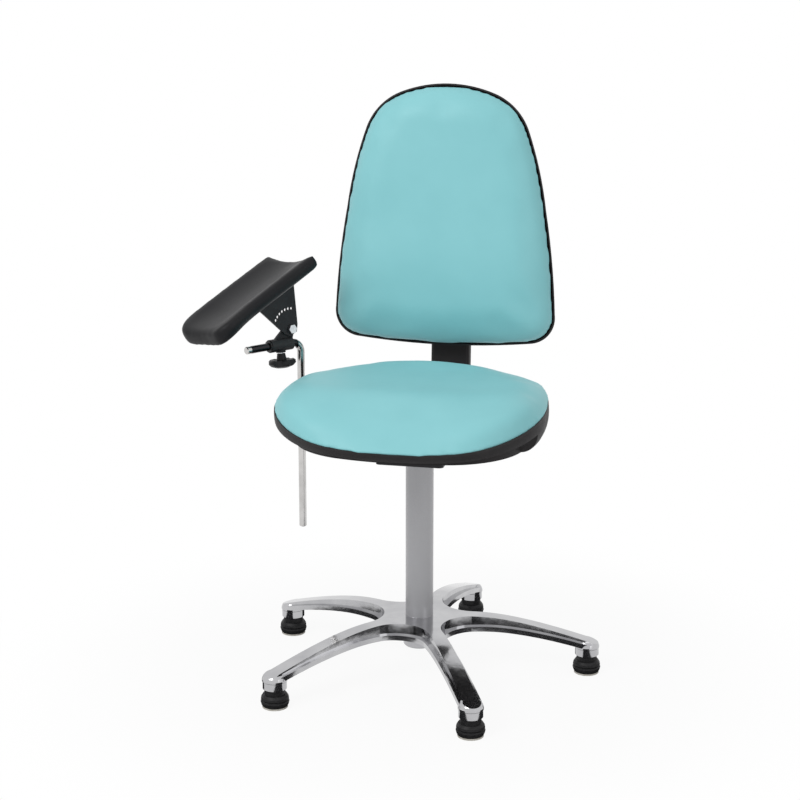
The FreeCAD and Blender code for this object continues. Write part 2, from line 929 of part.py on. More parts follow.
def seat_outline(inset):
    """Plan of the seat: bowed front, round corners, sides that taper."""

    def point(share, side):
        x = side * share[0] * (seat_half_width - inset)
        return Vector(x, seat_front_y + inset + share[1] * (seat_length - 2 * inset), 0)

    stations = (
        (front_corner_share, front_bow_share, wide_share),
        (wide_share, side_mid_share, rear_side_share),
        (rear_side_share, rear_bow_share, rear_corner_share),
    )
    return closed_outline(point, (0, 0), stations, (0, 1))


def across(edges):
    """A closed YZ profile swept over the whole width of the seat."""
    reach = 2 * seat_half_width
    wire = Part.Wire(edges)
    wire.translate(Vector(-reach, 0, 0))
    return Part.Face(wire).extrude(Vector(2 * reach, 0, 0))


def above_parting(lift):
    """Everything above the line where cushion and pan meet."""
    front = Vector(0, seat_front_y - overrun, parting_front_z - overrun / 2 + lift)
    front_mid = Vector(0, seat_front_y + 0.14 * seat_length, (parting_front_z + parting_knee_z) / 2 + lift)
    knee = Vector(0, seat_front_y + 0.36 * seat_length, parting_knee_z + lift)
    mid = Vector(0, seat_front_y + 0.65 * seat_length, parting_side_z + lift)
    rear = Vector(0, seat_rear_y + 2 * overrun, parting_rear_z + lift)
    top = hump_z + 2 * overrun
    rear_top = Vector(0, rear.y, top)
    front_top = Vector(0, front.y, top)
    edges = [arc_through((front, front_mid, knee)), arc_through((knee, mid, rear))]
    edges += [
        line_through(rear, rear_top), line_through(rear_top, front_top), line_through(front_top, front)
    ]
    return across(edges)


def pan_hull(drawn_in):
    """The pan's outer form, drawn in by a wall for its hollow."""
    depth = parting_side_z - pan_bottom_z
    layers = (
        (0.17 * seat_half_width + drawn_in, pan_bottom_z + drawn_in),
        (0.075 * seat_half_width + drawn_in, pan_bottom_z + 0.10 * depth + 0.6 * drawn_in),
        (0.02 * seat_half_width + drawn_in, pan_bottom_z + 0.36 * depth),
        (drawn_in, pan_bottom_z + 0.80 * depth),
        (drawn_in, pan_bottom_z + 1.6 * depth),
    )
    return layered(seat_outline, layers, Vector(0, 0, 1))


def under_lip(lift):
    """The space under the rim's lip, from the front to the deep rear lobe."""
    front_y = seat_front_y - overrun
    top = hump_z + lift
    corners = [
        Vector(0, front_y, 0),
        Vector(0, lobe_y, 0),
        Vector(0, lobe_y, pan_bottom_z + lift),
        Vector(0, lobe_y - pan_lip, parting_side_z + lift),
        Vector(0, front_y, top),
    ]
    edges = [line_through(start, end) for start, end in zip(corners, corners[1:] + corners[:1])]
    return across(edges).cut(above_parting(lift - pan_band))


def pan_form(drawn_in):
    """Hull of the pan with a thin rim in front and a tub set in below it."""
    tub = Part.Face(seat_outline(pan_lip + drawn_in)).extrude(Vector(0, 0, hump_z))
    return pan_hull(drawn_in).cut(under_lip(drawn_in).cut(tub))


def seat_bolt_holes(bottom_z, height):
    places = bolt_places() + holder_bolt_places()
    return [cylinder(bolt_r + seat_fit, height, place + Vector(0, 0, bottom_z)) for place in places]


def make_seat_pan():
    shell = pan_form(0.0).cut(pan_form(pan_wall)).cut(above_parting(0.0))
    reach = 2 * seat_half_width
    shell = shell.cut(block((-reach, reach), (-reach, reach), (0, pan_bottom_z)))
    shell = shell.cut(seat_bolt_holes(pan_bottom_z - pan_wall, board_thickness + 2 * pan_wall))
    return shell


board_bottom_z = pan_bottom_z + pan_wall


def make_seat_board():
    wire = seat_outline(0.17 * seat_half_width + pan_wall + board_inset)
    wire.translate(Vector(0, 0, board_bottom_z))
    board = Part.Face(wire).extrude(Vector(0, 0, board_thickness))
    return board.cut(seat_bolt_holes(board_bottom_z - pan_wall, board_thickness * 2))


top_place_share = (-0.06, 0.0, 0.05, 0.12, 0.24, 0.45, 0.65, 0.80, 0.92, 1.0, 1.06)
top_middle_share = (-0.20, 0.06, 0.44, 0.74, 0.96, 0.97, 0.95, 0.97, 1.04, 0.96, 0.86)
top_side_share = (-0.24, 0.02, 0.40, 0.72, 0.94, 1.01, 1.00, 0.90, 0.71, 0.56, 0.46)


def below_top():
    """Everything under the cushion's top: waterfall, dish and rear hump."""
    rise = sitting_z - parting_front_z
    reach = seat_half_width + overrun
    wires = []
    for place, middle, side in zip(top_place_share, top_middle_share, top_side_share):
        y = seat_front_y + place * seat_length
        low_left = Vector(-reach, y, 0)
        low_right = Vector(reach, y, 0)
        left = Vector(-reach, y, parting_front_z + side * rise)
        right = Vector(reach, y, parting_front_z + side * rise)
        crown = Vector(0, y, parting_front_z + middle * rise)
        edges = [line_through(low_left, low_right), line_through(low_right, right)]
        edges += [arc_through((right, crown, left)), line_through(left, low_left)]
        wires.append(Part.Wire(edges))
    return Part.makeLoft(wires, True, False)


def make_seat_cushion():
    """Foam block with drawn-in lower edge, bulging sides and a crown."""
    edge = cushion_edge_inset
    rise = hump_z - parting_front_z
    layers = (
        (edge + pan_wall + soft_gap, pan_bottom_z),
        (edge, parting_front_z),
        (edge / 4, parting_front_z + 0.40 * rise),
        (edge / 4, parting_front_z + 0.64 * rise),
        (2 * edge, parting_front_z + 0.84 * rise),
        (5 * edge, parting_front_z + 0.96 * rise),
        (14 * edge, parting_front_z + 1.04 * rise),
    )
    foam = layered(seat_outline, layers, Vector(0, 0, 1))
    inside = pan_form(pan_wall + soft_gap)
    foam = foam.common(inside.fuse(above_parting(soft_gap)))
    foam = foam.common(below_top())
    floor = block(
        (-seat_half_width, seat_half_width),
        (seat_front_y, seat_rear_y),
        (0, board_bottom_z + board_thickness + soft_gap),
    )
    return foam.cut(floor)


def export_seat():
    make_seat_pan().exportStep("parts/seat_pan.step")
    make_seat_board().exportStep("parts/seat_board.step")
    make_seat_cushion().exportStep("parts/seat_cushion.step")


# Back bar, its cover and the pivot

lean_base = Vector(0, bar_y, cover_bottom_z)


def leaned(shape):
    """Tips a shape built upright to the backrest's lean."""
    tipped = shape.copy()
    tipped.rotate(lean_base, Vector(1, 0, 0), -back_lean_deg)
    return tipped


def make_back_bar():
    """Flat bar: an eye on the pivot pin, a run to the rear, a bend, an upright."""
    half = bar_thickness / 2
    tip = leaned(Part.Vertex(Vector(0, bar_y, bar_top_z))).Point
    lean = math.radians(back_lean_deg)
    corner_y = bar_y - (cover_bottom_z - pivot_z) * math.tan(lean)
    corner = Vector(0, corner_y, pivot_z)
    side = Vector(0, math.cos(lean), -math.sin(lean))
    mitre = half * math.tan((math.pi / 2 - lean) / 2)
    outer_corner = corner + Vector(0, mitre, -half)
    inner_corner = corner + Vector(0, -mitre, half)
    points = [
        Vector(0, pivot_y, pivot_z - half),
        outer_corner,
        tip + along(side, half),
        tip - along(side, half),
        inner_corner,
        Vector(0, pivot_y, pivot_z + half),
    ]
    points = [point - Vector(bar_width / 2, 0, 0) for point in points]
    bar = plate(points, bar_width, Vector(1, 0, 0))
    outer_edge = [edge for edge in bar.Edges if near_line(edge, outer_corner)]
    inner_edge = [edge for edge in bar.Edges if near_line(edge, inner_corner)]
    bar = bar.makeFillet(bar_bend_r + bar_thickness, outer_edge)
    inner_edge = [edge for edge in bar.Edges if near_line(edge, inner_corner)]
    bar = bar.makeFillet(bar_bend_r, inner_edge)
    top_edges = [
        edge
        for edge in bar.Edges if abs(
            edge.tangentAt(edge.FirstParameter).y
        ) > 0.9 and edge.CenterOfMass.z > bar_top_z - 5 * half
    ]
    bar = bar.makeFillet(2 * bar_thickness, top_edges)
    eye = cylinder(bar_eye_r, bar_width, Vector(-bar_width / 2, pivot_y, pivot_z), Vector(1, 0, 0))
    bar = joined(bar, eye)
    return bar.cut(
        cylinder(
            pivot_pin_r + seat_fit, 2 * bar_width, Vector(-bar_width, pivot_y, pivot_z), Vector(1, 0, 0)
        )
    )


def near_line(edge, corner):
    """True for an edge that runs along X through a corner of the side view."""
    centre = edge.CenterOfMass
    across_x = edge.BoundBox.XLength > bar_width / 2
    return across_x and abs(centre.y - corner.y) < 0.01 and abs(centre.z - corner.z) < 0.01


def make_bar_cover():
    """Moulded sleeve over the lower upright, open at both ends."""
    outer = rounded_box(cover_half_x, cover_half_y, cover_bottom_z, cover_top_z, cover_corner_r, bar_y)
    inner = rounded_box(
        cover_half_x - cover_wall,
        cover_half_y - cover_wall,
        cover_bottom_z - overrun,
        cover_top_z + overrun,
        cover_corner_r - cover_wall,
        bar_y,
    )
    sleeve = outer.cut(inner)
    for z in (cover_bottom_z + overrun, cover_top_z - overrun):
        saddle = block(
            (-cover_half_x + cover_wall / 2, cover_half_x - cover_wall / 2),
            (bar_y - cover_half_y + cover_wall / 2, bar_y + cover_half_y - cover_wall / 2),
            (z - cover_wall, z + cover_wall),
        )
        sleeve = sleeve.fuse(saddle)
    slot = block(
        (-bar_width / 2 - seat_fit, bar_width / 2 + seat_fit),
        (bar_y - bar_thickness / 2 - seat_fit, bar_y + bar_thickness / 2 + seat_fit),
        (cover_bottom_z - overrun, cover_top_z + overrun),
    )
    return leaned(sleeve.cut(slot))


def make_pivot_knob():
    """Grip on the end of the pivot pin: a fluted cap."""
    cap = cylinder(pivot_knob_r, pivot_knob_length)
    for index in range(pivot_knob_flutes):
        angle = 2 * math.pi * index / pivot_knob_flutes
        place = Vector(
            1.12 * pivot_knob_r * math.cos(angle),
            1.12 * pivot_knob_r * math.sin(angle),
            -pivot_knob_length,
        )
        cap = cap.cut(cylinder(pivot_knob_r / 4, 3 * pivot_knob_length, place))
    hub = cylinder(
        pivot_knob_r / 2,
        pivot_knob_x - housing_half_x - running_fit,
        Vector(0, 0, housing_half_x - pivot_knob_x + running_fit),
    )
    knob = joined(cap, hub)
    knob = knob.cut(
        cylinder(pivot_pin_r + running_fit, 2 * pivot_knob_length, Vector(0, 0, -1.5 * pivot_knob_length))
    )
    return stood(knob, Vector(pivot_knob_x, pivot_y, pivot_z), Vector(1, 0, 0))


def make_pivot_pin():
    """Cross pin through the housing and the bar's eye, headed at one end."""
    length = pivot_knob_x + pivot_knob_length / 2 + housing_half_x - running_fit
    pin = cylinder(pivot_pin_r, length, Vector(-housing_half_x, pivot_y, pivot_z), Vector(1, 0, 0))
    head = cylinder(
        1.6 * pivot_pin_r,
        pivot_pin_r,
        Vector(-housing_half_x - pivot_pin_r - running_fit, pivot_y, pivot_z),
        Vector(1, 0, 0),
    )
    neck = cylinder(
        pivot_pin_r,
        pivot_pin_r,
        Vector(-housing_half_x - pivot_pin_r, pivot_y, pivot_z),
        Vector(1, 0, 0),
    )
    return joined(pin, head, neck)


def export_back_bar():
    make_back_bar().exportStep("parts/back_bar.step")
    make_bar_cover().exportStep("parts/bar_cover.step")
    make_pivot_pin().exportStep("parts/back_pivot_pin.step")
    make_pivot_knob().exportStep("parts/back_angle_knob.step")


# Backrest

back_half_width = back_width / 2
lower_end_share = (0.80, 0.020)
lower_bow_share = (0.945, 0.054)
hip_share = (1.0, 0.135)
lower_side_share = (0.966, 0.326)
waist_share = (0.899, 0.528)
upper_side_share = (0.831, 0.684)
shoulder_share = (0.725, 0.835)
shoulder_bow_share = (0.597, 0.917)
top_end_share = (0.425, 0.965)


def back_outline(inset):
    """Front view of the backrest: wide low hips, tapered to a round head."""

    def point(share, side):
        x = side * share[0] * (back_half_width - inset)
        return Vector(x, 0, back_bottom_z + inset + share[1] * (back_height - 2 * inset))

    stations = (
        (lower_end_share, lower_bow_share, hip_share),
        (hip_share, lower_side_share, waist_share),
        (waist_share, upper_side_share, shoulder_share),
        (shoulder_share, shoulder_bow_share, top_end_share),
    )
    return closed_outline(point, (0, 0), stations, (0, 1))


def back_hull(drawn_in):
    layers = (
        (drawn_in, back_joint_y),
        (0.006 * back_width + drawn_in, back_joint_y + 0.22 * shell_depth),
        (0.035 * back_width + drawn_in, back_joint_y + 0.55 * shell_depth - drawn_in / 2),
        (0.11 * back_width + drawn_in, back_joint_y + 0.86 * shell_depth - drawn_in),
        (0.20 * back_width + drawn_in, back_joint_y + shell_depth - drawn_in),
    )
    return layered(back_outline, layers, Vector(0, 1, 0))


carriage_z = (carriage_bottom_z + carriage_top_z) / 2


def back_bolt_places():
    return [
        Vector(x, 0, carriage_z + z) for x in (-back_bolt_x, back_bolt_x)
        for z in (-back_bolt_z, back_bolt_z)
    ]


board_rear_y = back_joint_y + back_board_thickness
shell_rear_y = back_joint_y + shell_depth


def make_back_shell():
    """Moulded rear shell with a pillar at each bolt."""
    shell = back_hull(0.0).cut(back_hull(shell_wall))
    mouth = block((-back_width, back_width), (back_joint_y - overrun, back_joint_y), (0, 2 * back_bottom_z))
    shell = shell.cut(mouth)
    pillars = [
        cylinder(
            shell_boss_r,
            shell_rear_y - board_rear_y,
            place + Vector(0, board_rear_y, 0),
            Vector(0, 1, 0),
        )
        for place in back_bolt_places()
    ]
    holes = [
        cylinder(bolt_r + seat_fit, 2 * shell_depth, place + Vector(0, back_joint_y, 0), Vector(0, 1, 0))
        for place in back_bolt_places()
    ]
    return leaned(shell.fuse(pillars).cut(holes))


def make_back_board():
    wire = back_outline(back_board_inset)
    wire.translate(Vector(0, back_joint_y, 0))
    board = Part.Face(wire).extrude(Vector(0, back_board_thickness, 0))
    holes = [
        cylinder(
            bolt_r + seat_fit,
            2 * back_board_thickness,
            place + Vector(0, back_joint_y + back_board_thickness / 4, 0),
            Vector(0, 1, 0),
        )
        for place in back_bolt_places()
    ]
    return leaned(board.cut(holes))


def behind_back_line():
    """Side view of the backrest's front: lumbar bulge, flatter above."""
    rear_y = back_joint_y + overrun
    low = Vector(0, back_joint_y - back_edge_depth - 4 * soft_gap, back_bottom_z - overrun / 4)
    low_bow = Vector(0, back_joint_y - 0.80 * lumbar_depth, back_bottom_z + 0.045 * back_height)
    lumbar_low = Vector(0, back_joint_y - 0.97 * lumbar_depth, back_bottom_z + 0.16 * back_height)
    lumbar = Vector(0, back_joint_y - lumbar_depth, back_bottom_z + 0.27 * back_height)
    lumbar_high = Vector(0, back_joint_y - 0.84 * lumbar_depth, back_bottom_z + 0.48 * back_height)
    upper = Vector(0, back_joint_y - upper_back_depth - back_bow, back_bottom_z + 0.72 * back_height)
    head = Vector(0, back_joint_y - upper_back_depth, back_bottom_z + 0.90 * back_height)
    head_bow = Vector(0, back_joint_y - 0.86 * upper_back_depth, back_bottom_z + 0.975 * back_height)
    top = Vector(0, back_joint_y - 0.45 * upper_back_depth, back_bottom_z + back_height + overrun / 10)
    rear_top = Vector(0, rear_y, top.z + overrun)
    rear_low = Vector(0, rear_y, low.z - overrun)
    edges = [
        arc_through((low, low_bow, lumbar_low)),
        arc_through((lumbar_low, lumbar, lumbar_high)),
        arc_through((lumbar_high, upper, head)),
        arc_through((head, head_bow, top)),
        line_through(top, rear_top),
        line_through(rear_top, rear_low),
        line_through(rear_low, low),
    ]
    reach = back_width
    wire = Part.Wire(edges)
    wire.translate(Vector(-reach, 0, 0))
    return Part.Face(wire).extrude(Vector(2 * reach, 0, 0))


def make_back_cushion():
    """Upholstered front: full at the lumbar, drawn in to the shell's lip."""
    depth = lumbar_depth
    layers = (
        (0.012 * back_width, back_joint_y),
        (0.006 * back_width, back_joint_y - 0.20 * depth),
        (0.012 * back_width, back_joint_y - 0.42 * depth),
        (0.035 * back_width, back_joint_y - 0.66 * depth),
        (0.070 * back_width, back_joint_y - 0.86 * depth),
        (0.120 * back_width, back_joint_y - 1.02 * depth),
    )
    foam = layered(back_outline, layers, Vector(0, 1, 0))
    return leaned(foam.common(behind_back_line()))


def make_carriage():
    """Height carriage: a box that slides on the bar, with a bolted flange."""
    rear_y = bar_y + carriage_rear
    box_body = block(
        (-carriage_half_x, carriage_half_x), (shell_rear_y, rear_y), (carriage_bottom_z, carriage_top_z)
    )
    rims = [edge for edge in box_body.Edges if edge.CenterOfMass.y > rear_y - 1]
    box_body = box_body.makeFillet(carriage_flange, rims)
    flange = block(
        (-carriage_flange_x, carriage_flange_x),
        (shell_rear_y, shell_rear_y + carriage_flange),
        (carriage_bottom_z, carriage_top_z),
    )
    corners = [edge for edge in flange.Edges if abs(edge.tangentAt(edge.FirstParameter).y) > 0.5]
    flange = flange.makeFillet(2 * carriage_flange, corners)
    body = joined(box_body, flange)
    slot = block(
        (-bar_width / 2 - running_fit, bar_width / 2 + running_fit),
        (bar_y - bar_thickness / 2 - running_fit, bar_y + bar_thickness / 2 + running_fit),
        (carriage_bottom_z - overrun, carriage_top_z + overrun),
    )
    hollow_y = (shell_rear_y + carriage_flange, bar_y - bar_thickness / 2 - carriage_flange)
    hollow = block(
        (-bar_width / 2, bar_width / 2),
        hollow_y,
        (carriage_bottom_z - overrun, carriage_top_z - carriage_flange),
    )
    holes = [
        cylinder(
            bolt_r + seat_fit,
            3 * carriage_flange,
            place + Vector(0, shell_rear_y - carriage_flange, 0),
            Vector(0, 1, 0),
        )
        for place in back_bolt_places()
    ]
    stud_hole = cylinder(
        stud_r + running_fit, 2 * carriage_rear, Vector(0, bar_y, carriage_z), Vector(0, 1, 0)
    )
    return leaned(body.cut([slot, hollow, stud_hole] + holes))


def make_back_bolts():
    bolts = []
    under_z = shell_rear_y + carriage_flange
    length = under_z - back_joint_y - back_board_thickness / 2
    for place in back_bolt_places():
        one = stood(bolt(length, Vector(0, 0, 0)), place + Vector(0, under_z, 0), Vector(0, -1, 0))
        bolts.append(one)
    return leaned(group(bolts))


def make_back_knob():
    """Star knob behind the carriage; its stud presses on the bar."""
    gap = star_knob_gap
    reach = carriage_rear - bar_thickness / 2 + star_knob_hub + gap - 2 * running_fit
    head, stud = star_knob(
        back_knob_r, back_knob_thickness, star_knob_lobes, star_knob_hub_r, star_knob_hub, stud_r, reach
    )
    base = Vector(0, bar_y + carriage_rear + star_knob_hub + gap, carriage_z)
    return [leaned(stood(shape, base, Vector(0, -1, 0))) for shape in (head, stud)]


def export_backrest():
    make_back_shell().exportStep("parts/back_shell.step")
    make_back_board().exportStep("parts/back_board.step")
    make_back_cushion().exportStep("parts/back_cushion.step")
    make_carriage().exportStep("parts/back_carriage.step")
    make_back_bolts().exportStep("parts/back_bolts.step")
    head, stud = make_back_knob()
    head.exportStep("parts/back_height_knob.step")
    stud.exportStep("parts/back_height_stud.step")


# Armrest holder and rod

heading = math.radians(rod_heading_deg)
rod_out = Vector(-math.sin(heading), -math.cos(heading), 0)
rod_side = Vector(math.cos(heading), -math.sin(heading), 0)
rod_hole_r = rod_r + running_fit
holder_bore_r = holder_tube_r - holder_tube_wall


def make_rod_holder():
    """Flat bar bolted under the seat, with a welded tube and a screw boss."""
    start = Vector(holder_start_x, holder_start_y, pan_bottom_z - holder_thickness)
    end = Vector(rod_x, rod_y, start.z)
    step = holder_direction()
    side = along(Vector(-step.y, step.x, 0), holder_width / 2)
    bar = plate([start - side, end - side, end + side, start + side], holder_thickness, Vector(0, 0, 1))
    uprights = [edge for edge in bar.Edges if edge.BoundBox.ZLength > holder_thickness / 2]
    bar = bar.makeFillet(holder_width / 5, uprights)
    tube = cylinder(
        holder_tube_r, pan_bottom_z - holder_tube_bottom_z, Vector(rod_x, rod_y, holder_tube_bottom_z)
    )
    boss = cylinder(holder_boss_r, holder_boss_reach, Vector(rod_x, rod_y, holder_knob_z), Vector(-1, 0, 0))
    bore = cylinder(holder_bore_r + running_fit, pan_bottom_z, Vector(rod_x, rod_y, 0))
    screw_hole = cylinder(
        stud_r + running_fit,
        2 * holder_boss_reach,
        Vector(rod_x, rod_y, holder_knob_z),
        Vector(-1, 0, 0),
    )
    holder = joined(bar, tube, boss).cut([bore, screw_hole])
    holes = [
        cylinder(bolt_r + seat_fit, 3 * holder_thickness, place + Vector(0, 0, start.z - holder_thickness))
        for place in holder_bolt_places()
    ]
    return holder.cut(holes)


def make_rod_bush():
    height = pan_bottom_z - holder_tube_bottom_z + running_fit
    sleeve = ring(holder_bore_r, rod_hole_r, height, Vector(rod_x, rod_y, holder_tube_bottom_z))
    flange = ring(
        holder_tube_r, rod_hole_r, rod_bush_flange, Vector(rod_x, rod_y, pan_bottom_z + running_fit)
    )
    return joined(sleeve, flange)


def make_holder_knob():
    reach = holder_boss_reach - holder_bore_r + star_knob_gap - 2 * running_fit
    head, stud = star_knob(
        holder_knob_r, holder_knob_thickness, star_knob_lobes, star_knob_hub_r, star_knob_gap, stud_r, reach
    )
    base = Vector(rod_x - holder_boss_reach - 2 * star_knob_gap, rod_y, holder_knob_z)
    return [stood(shape, base, Vector(1, 0, 0)) for shape in (head, stud)]


def make_arm_rod():
    """One bright rod: upright, a quarter bend, and the level stretch."""
    upright = cylinder(rod_r, rod_top_z - rod_bend_r - rod_bottom_z, Vector(rod_x, rod_y, rod_bottom_z))
    corner = Vector(rod_x, rod_y, rod_top_z)
    centre = corner + along(rod_out, rod_bend_r) - Vector(0, 0, rod_bend_r)
    section = Part.Face(
        Part.Wire(Part.Circle(corner - Vector(0, 0, rod_bend_r), Vector(0, 0, 1), rod_r).toShape())
    )
    bend = section.revolve(centre, rod_side.negative(), 90)
    if bend.BoundBox.ZMax < rod_top_z:
        bend = section.revolve(centre, rod_side, 90)
    level = cylinder(rod_r, rod_reach - rod_bend_r, corner + along(rod_out, rod_bend_r), rod_out)
    rod = joined(upright, bend, level)
    ends = [edge for edge in rod.Edges if edge.Closed and near_rod_end(edge.CenterOfMass)]
    return rod.makeChamfer(rod_chamfer, ends)


def near_rod_end(point):
    foot = Vector(rod_x, rod_y, rod_bottom_z)
    tip = Vector(rod_x, rod_y, rod_top_z) + along(rod_out, rod_reach)
    return min((point - foot).Length, (point - tip).Length) < rod_r / 2


def export_arm_rod():
    make_rod_holder().exportStep("parts/rod_holder.step")
    make_rod_bush().exportStep("parts/rod_bush.step")
    head, stud = make_holder_knob()
    head.exportStep("parts/holder_knob.step")
    stud.exportStep("parts/holder_knob_stud.step")
    make_arm_rod().exportStep("parts/arm_rod.step")


# Arm clamp, in its own frame: x along the level rod from the bend, y towards
# the seat, z up, then rolled about the rod and moved to the rod's corner.

roll = math.radians(clamp_roll_deg)
clamp_side = along(rod_side, math.cos(roll)) + Vector(0, 0, math.sin(roll))
clamp_up = Vector(0, 0, math.cos(roll)) - along(rod_side, math.sin(roll))
clamp_frame = Placement(Vector(rod_x, rod_y, rod_top_z), Rotation(rod_out, clamp_side, clamp_up, "XYZ"))
clamp_end = clamp_start + clamp_length
clamp_bush_r = rod_hole_r + clamp_bush_wall
star_knob_along = clamp_start + clamp_length / 2


def in_clamp_frame(shape):
    moved = shape.copy()
    moved.Placement = clamp_frame.multiply(moved.Placement)
    return moved


def make_clamp_bush():
    x_axis = Vector(1, 0, 0)
    sleeve = ring(clamp_bush_r, rod_hole_r, clamp_length, Vector(clamp_start, 0, 0), x_axis)
    flange_at = Vector(clamp_end + running_fit, 0, 0)
    flange = ring(clamp_bush_flange_r, rod_hole_r, clamp_bush_flange, flange_at, x_axis)
    neck = ring(clamp_bush_r, rod_hole_r, clamp_bush_flange, Vector(clamp_end - running_fit, 0, 0), x_axis)
    return in_clamp_frame(joined(sleeve, neck, flange))


def ear_outline():
    """Tangent hull of the clamp barrel and the bolt tip, seen from the side."""
    tip = Vector(tilt_bolt_along, 0, tilt_bolt_up)
    foot_left = Vector(clamp_start, 0, 0)
    tip_left = Vector(clamp_start - ear_tip_r * 0.75, 0, tilt_bolt_up - ear_tip_r * 0.25)
    tip_right = tip + Vector(ear_tip_r * 0.8, 0, ear_tip_r * 0.6)
    foot_right = Vector(clamp_end - clamp_boss_r / 2, 0, clamp_boss_r / 2)
    return [foot_left, tip_left, tip_right, foot_right]


def make_clamp_block():
    """Cast barrel on the rod, a boss below for the stud and an ear above."""
    x_axis = Vector(1, 0, 0)
    y_axis = Vector(0, 1, 0)
    barrel = cylinder(clamp_boss_r, clamp_length, Vector(clamp_start, 0, 0), x_axis)
    half = along(y_axis, ear_thickness / 2)
    ear = plate([corner - half for corner in ear_outline()], ear_thickness, y_axis)
    tip = cylinder(ear_tip_r, ear_thickness, Vector(tilt_bolt_along, 0, tilt_bolt_up) - half, y_axis)
    stud_boss = cylinder(
        star_knob_hub_r * 1.2,
        clamp_boss_r + star_knob_gap,
        Vector(star_knob_along, 0, 0),
        Vector(0, 0, -1),
    )
    block_body = joined(barrel, ear, tip, stud_boss)
    bore = cylinder(clamp_bush_r + running_fit, 2 * clamp_length, Vector(0, 0, 0), x_axis)
    bolt_hole = cylinder(
        tilt_bolt_r + running_fit,
        4 * ear_thickness,
        Vector(tilt_bolt_along, -2 * ear_thickness, tilt_bolt_up),
        y_axis,
    )
    stud_hole = cylinder(
        stud_r + running_fit, 2 * clamp_boss_r, Vector(star_knob_along, 0, 0), Vector(0, 0, -1)
    )
    return in_clamp_frame(block_body.cut([bore, bolt_hole, stud_hole]))


def make_clamp_knob():
    stem = clamp_boss_r - clamp_bush_r + 2 * star_knob_gap + star_knob_hub - 2 * running_fit
    head, stud = star_knob(
        star_knob_r, star_knob_thickness, star_knob_lobes, star_knob_hub_r, star_knob_hub, stud_r, stem
    )
    base = Vector(star_knob_along, 0, -clamp_boss_r - 2 * star_knob_gap - star_knob_hub)
    return [in_clamp_frame(stood(shape, base, Vector(0, 0, 1))) for shape in (head, stud)]


def export_clamp():
    make_clamp_bush().exportStep("parts/clamp_bush.step")
    make_clamp_block().exportStep("parts/clamp_block.step")
    head, stud = make_clamp_knob()
    head.exportStep("parts/clamp_knob.step")
    stud.exportStep("parts/clamp_knob_stud.step")


# Arm pad, in its own frame: origin at the tilt bolt, x to the pad's front,
# y towards the seat, z up, then pitched about the bolt.

pad_frame = clamp_frame.multiply(
    Placement(Vector(tilt_bolt_along, 0, tilt_bolt_up), Rotation(Vector(0, 1, 0), pad_pitch_deg))
)
bracket_y = ear_thickness / 2 + 2 * running_fit


def in_pad_frame(shape):
    moved = shape.copy()
    moved.Placement = pad_frame.multiply(moved.Placement)
    return moved


def make_pad_bracket():
    """Folded steel bracket: a V web with index holes and a top flange."""
    y_axis = Vector(0, 1, 0)
    front_x = bracket_centre + bracket_flange_length / 2
    rear_x = bracket_centre - bracket_flange_length / 2
    fold_z = pad_above_bolt - 4 * bracket_thickness
    web_points = [
        Vector(-bracket_foot_half, bracket_y, 0),
        Vector(rear_x, bracket_y, fold_z),
        Vector(rear_x, bracket_y, pad_above_bolt),
        Vector(front_x, bracket_y, pad_above_bolt),
        Vector(front_x, bracket_y, fold_z),
        Vector(bracket_foot_half, bracket_y, 0),
        Vector(0.5 * bracket_foot_half, bracket_y, -bracket_tip_r),
        Vector(-0.5 * bracket_foot_half, bracket_y, -bracket_tip_r),
    ]
    web = plate(web_points, bracket_thickness, y_axis)
    flange = block(
        (rear_x, front_x),
        (bracket_y + bracket_thickness - bracket_flange_width, bracket_y + bracket_thickness),
        (pad_above_bolt - bracket_thickness, pad_above_bolt),
    )
    body = joined(web, flange)
    cuts = [cylinder(tilt_bolt_r + running_fit, 3 * ear_thickness, Vector(0, -ear_thickness, 0), y_axis)]
    for index in range(index_count):
        angle = math.radians(index_step_deg * (index - (index_count - 1) / 2))
        place = Vector(index_arc_r * math.sin(angle), -ear_thickness, index_arc_r * math.cos(angle))
        cuts.append(cylinder(index_hole_r, 4 * ear_thickness, place, y_axis))
    cuts += [
        cylinder(pad_screw_r + seat_fit, 3 * bracket_thickness, place - Vector(0, 0, 2 * bracket_thickness))
        for place in pad_screw_places()
    ]
    return in_pad_frame(body.cut(cuts))


def pad_screw_places():
    reach = bracket_flange_length * 0.40
    side_y = bracket_y + bracket_thickness - bracket_flange_width * 0.62
    return [Vector(bracket_centre + x, side_y, pad_above_bolt) for x in (-reach, reach)]


def pad_core_blank():
    core = block(
        (-pad_behind_bolt + pad_core_margin, pad_nose_start - pad_behind_bolt - pad_core_margin),
        (-pad_core_width / 2, pad_core_width / 2),
        (pad_above_bolt, pad_above_bolt + pad_core_thickness),
    )
    uprights = [edge for edge in core.Edges if abs(edge.tangentAt(edge.FirstParameter).z) > 0.5]
    return core.makeFillet(2 * pad_core_thickness, uprights)


def make_pad_core():
    """Steel strip moulded into the pad's underside, drilled for the screws."""
    holes = [
        cylinder(pad_screw_r + seat_fit, 3 * pad_core_thickness, place - Vector(0, 0, pad_core_thickness))
        for place in pad_screw_places()
    ]
    return in_pad_frame(pad_core_blank().cut(holes))


def make_pad_screws():
    screws = []
    for place in pad_screw_places():
        low = place - Vector(0, 0, bracket_thickness)
        shank = cylinder(pad_screw_r, bracket_thickness + pad_core_thickness, low)
        head = cylinder(2 * pad_screw_r, pad_screw_r, low - Vector(0, 0, pad_screw_r))
        screws.append(joined(shank, head))
    return in_pad_frame(group(screws))


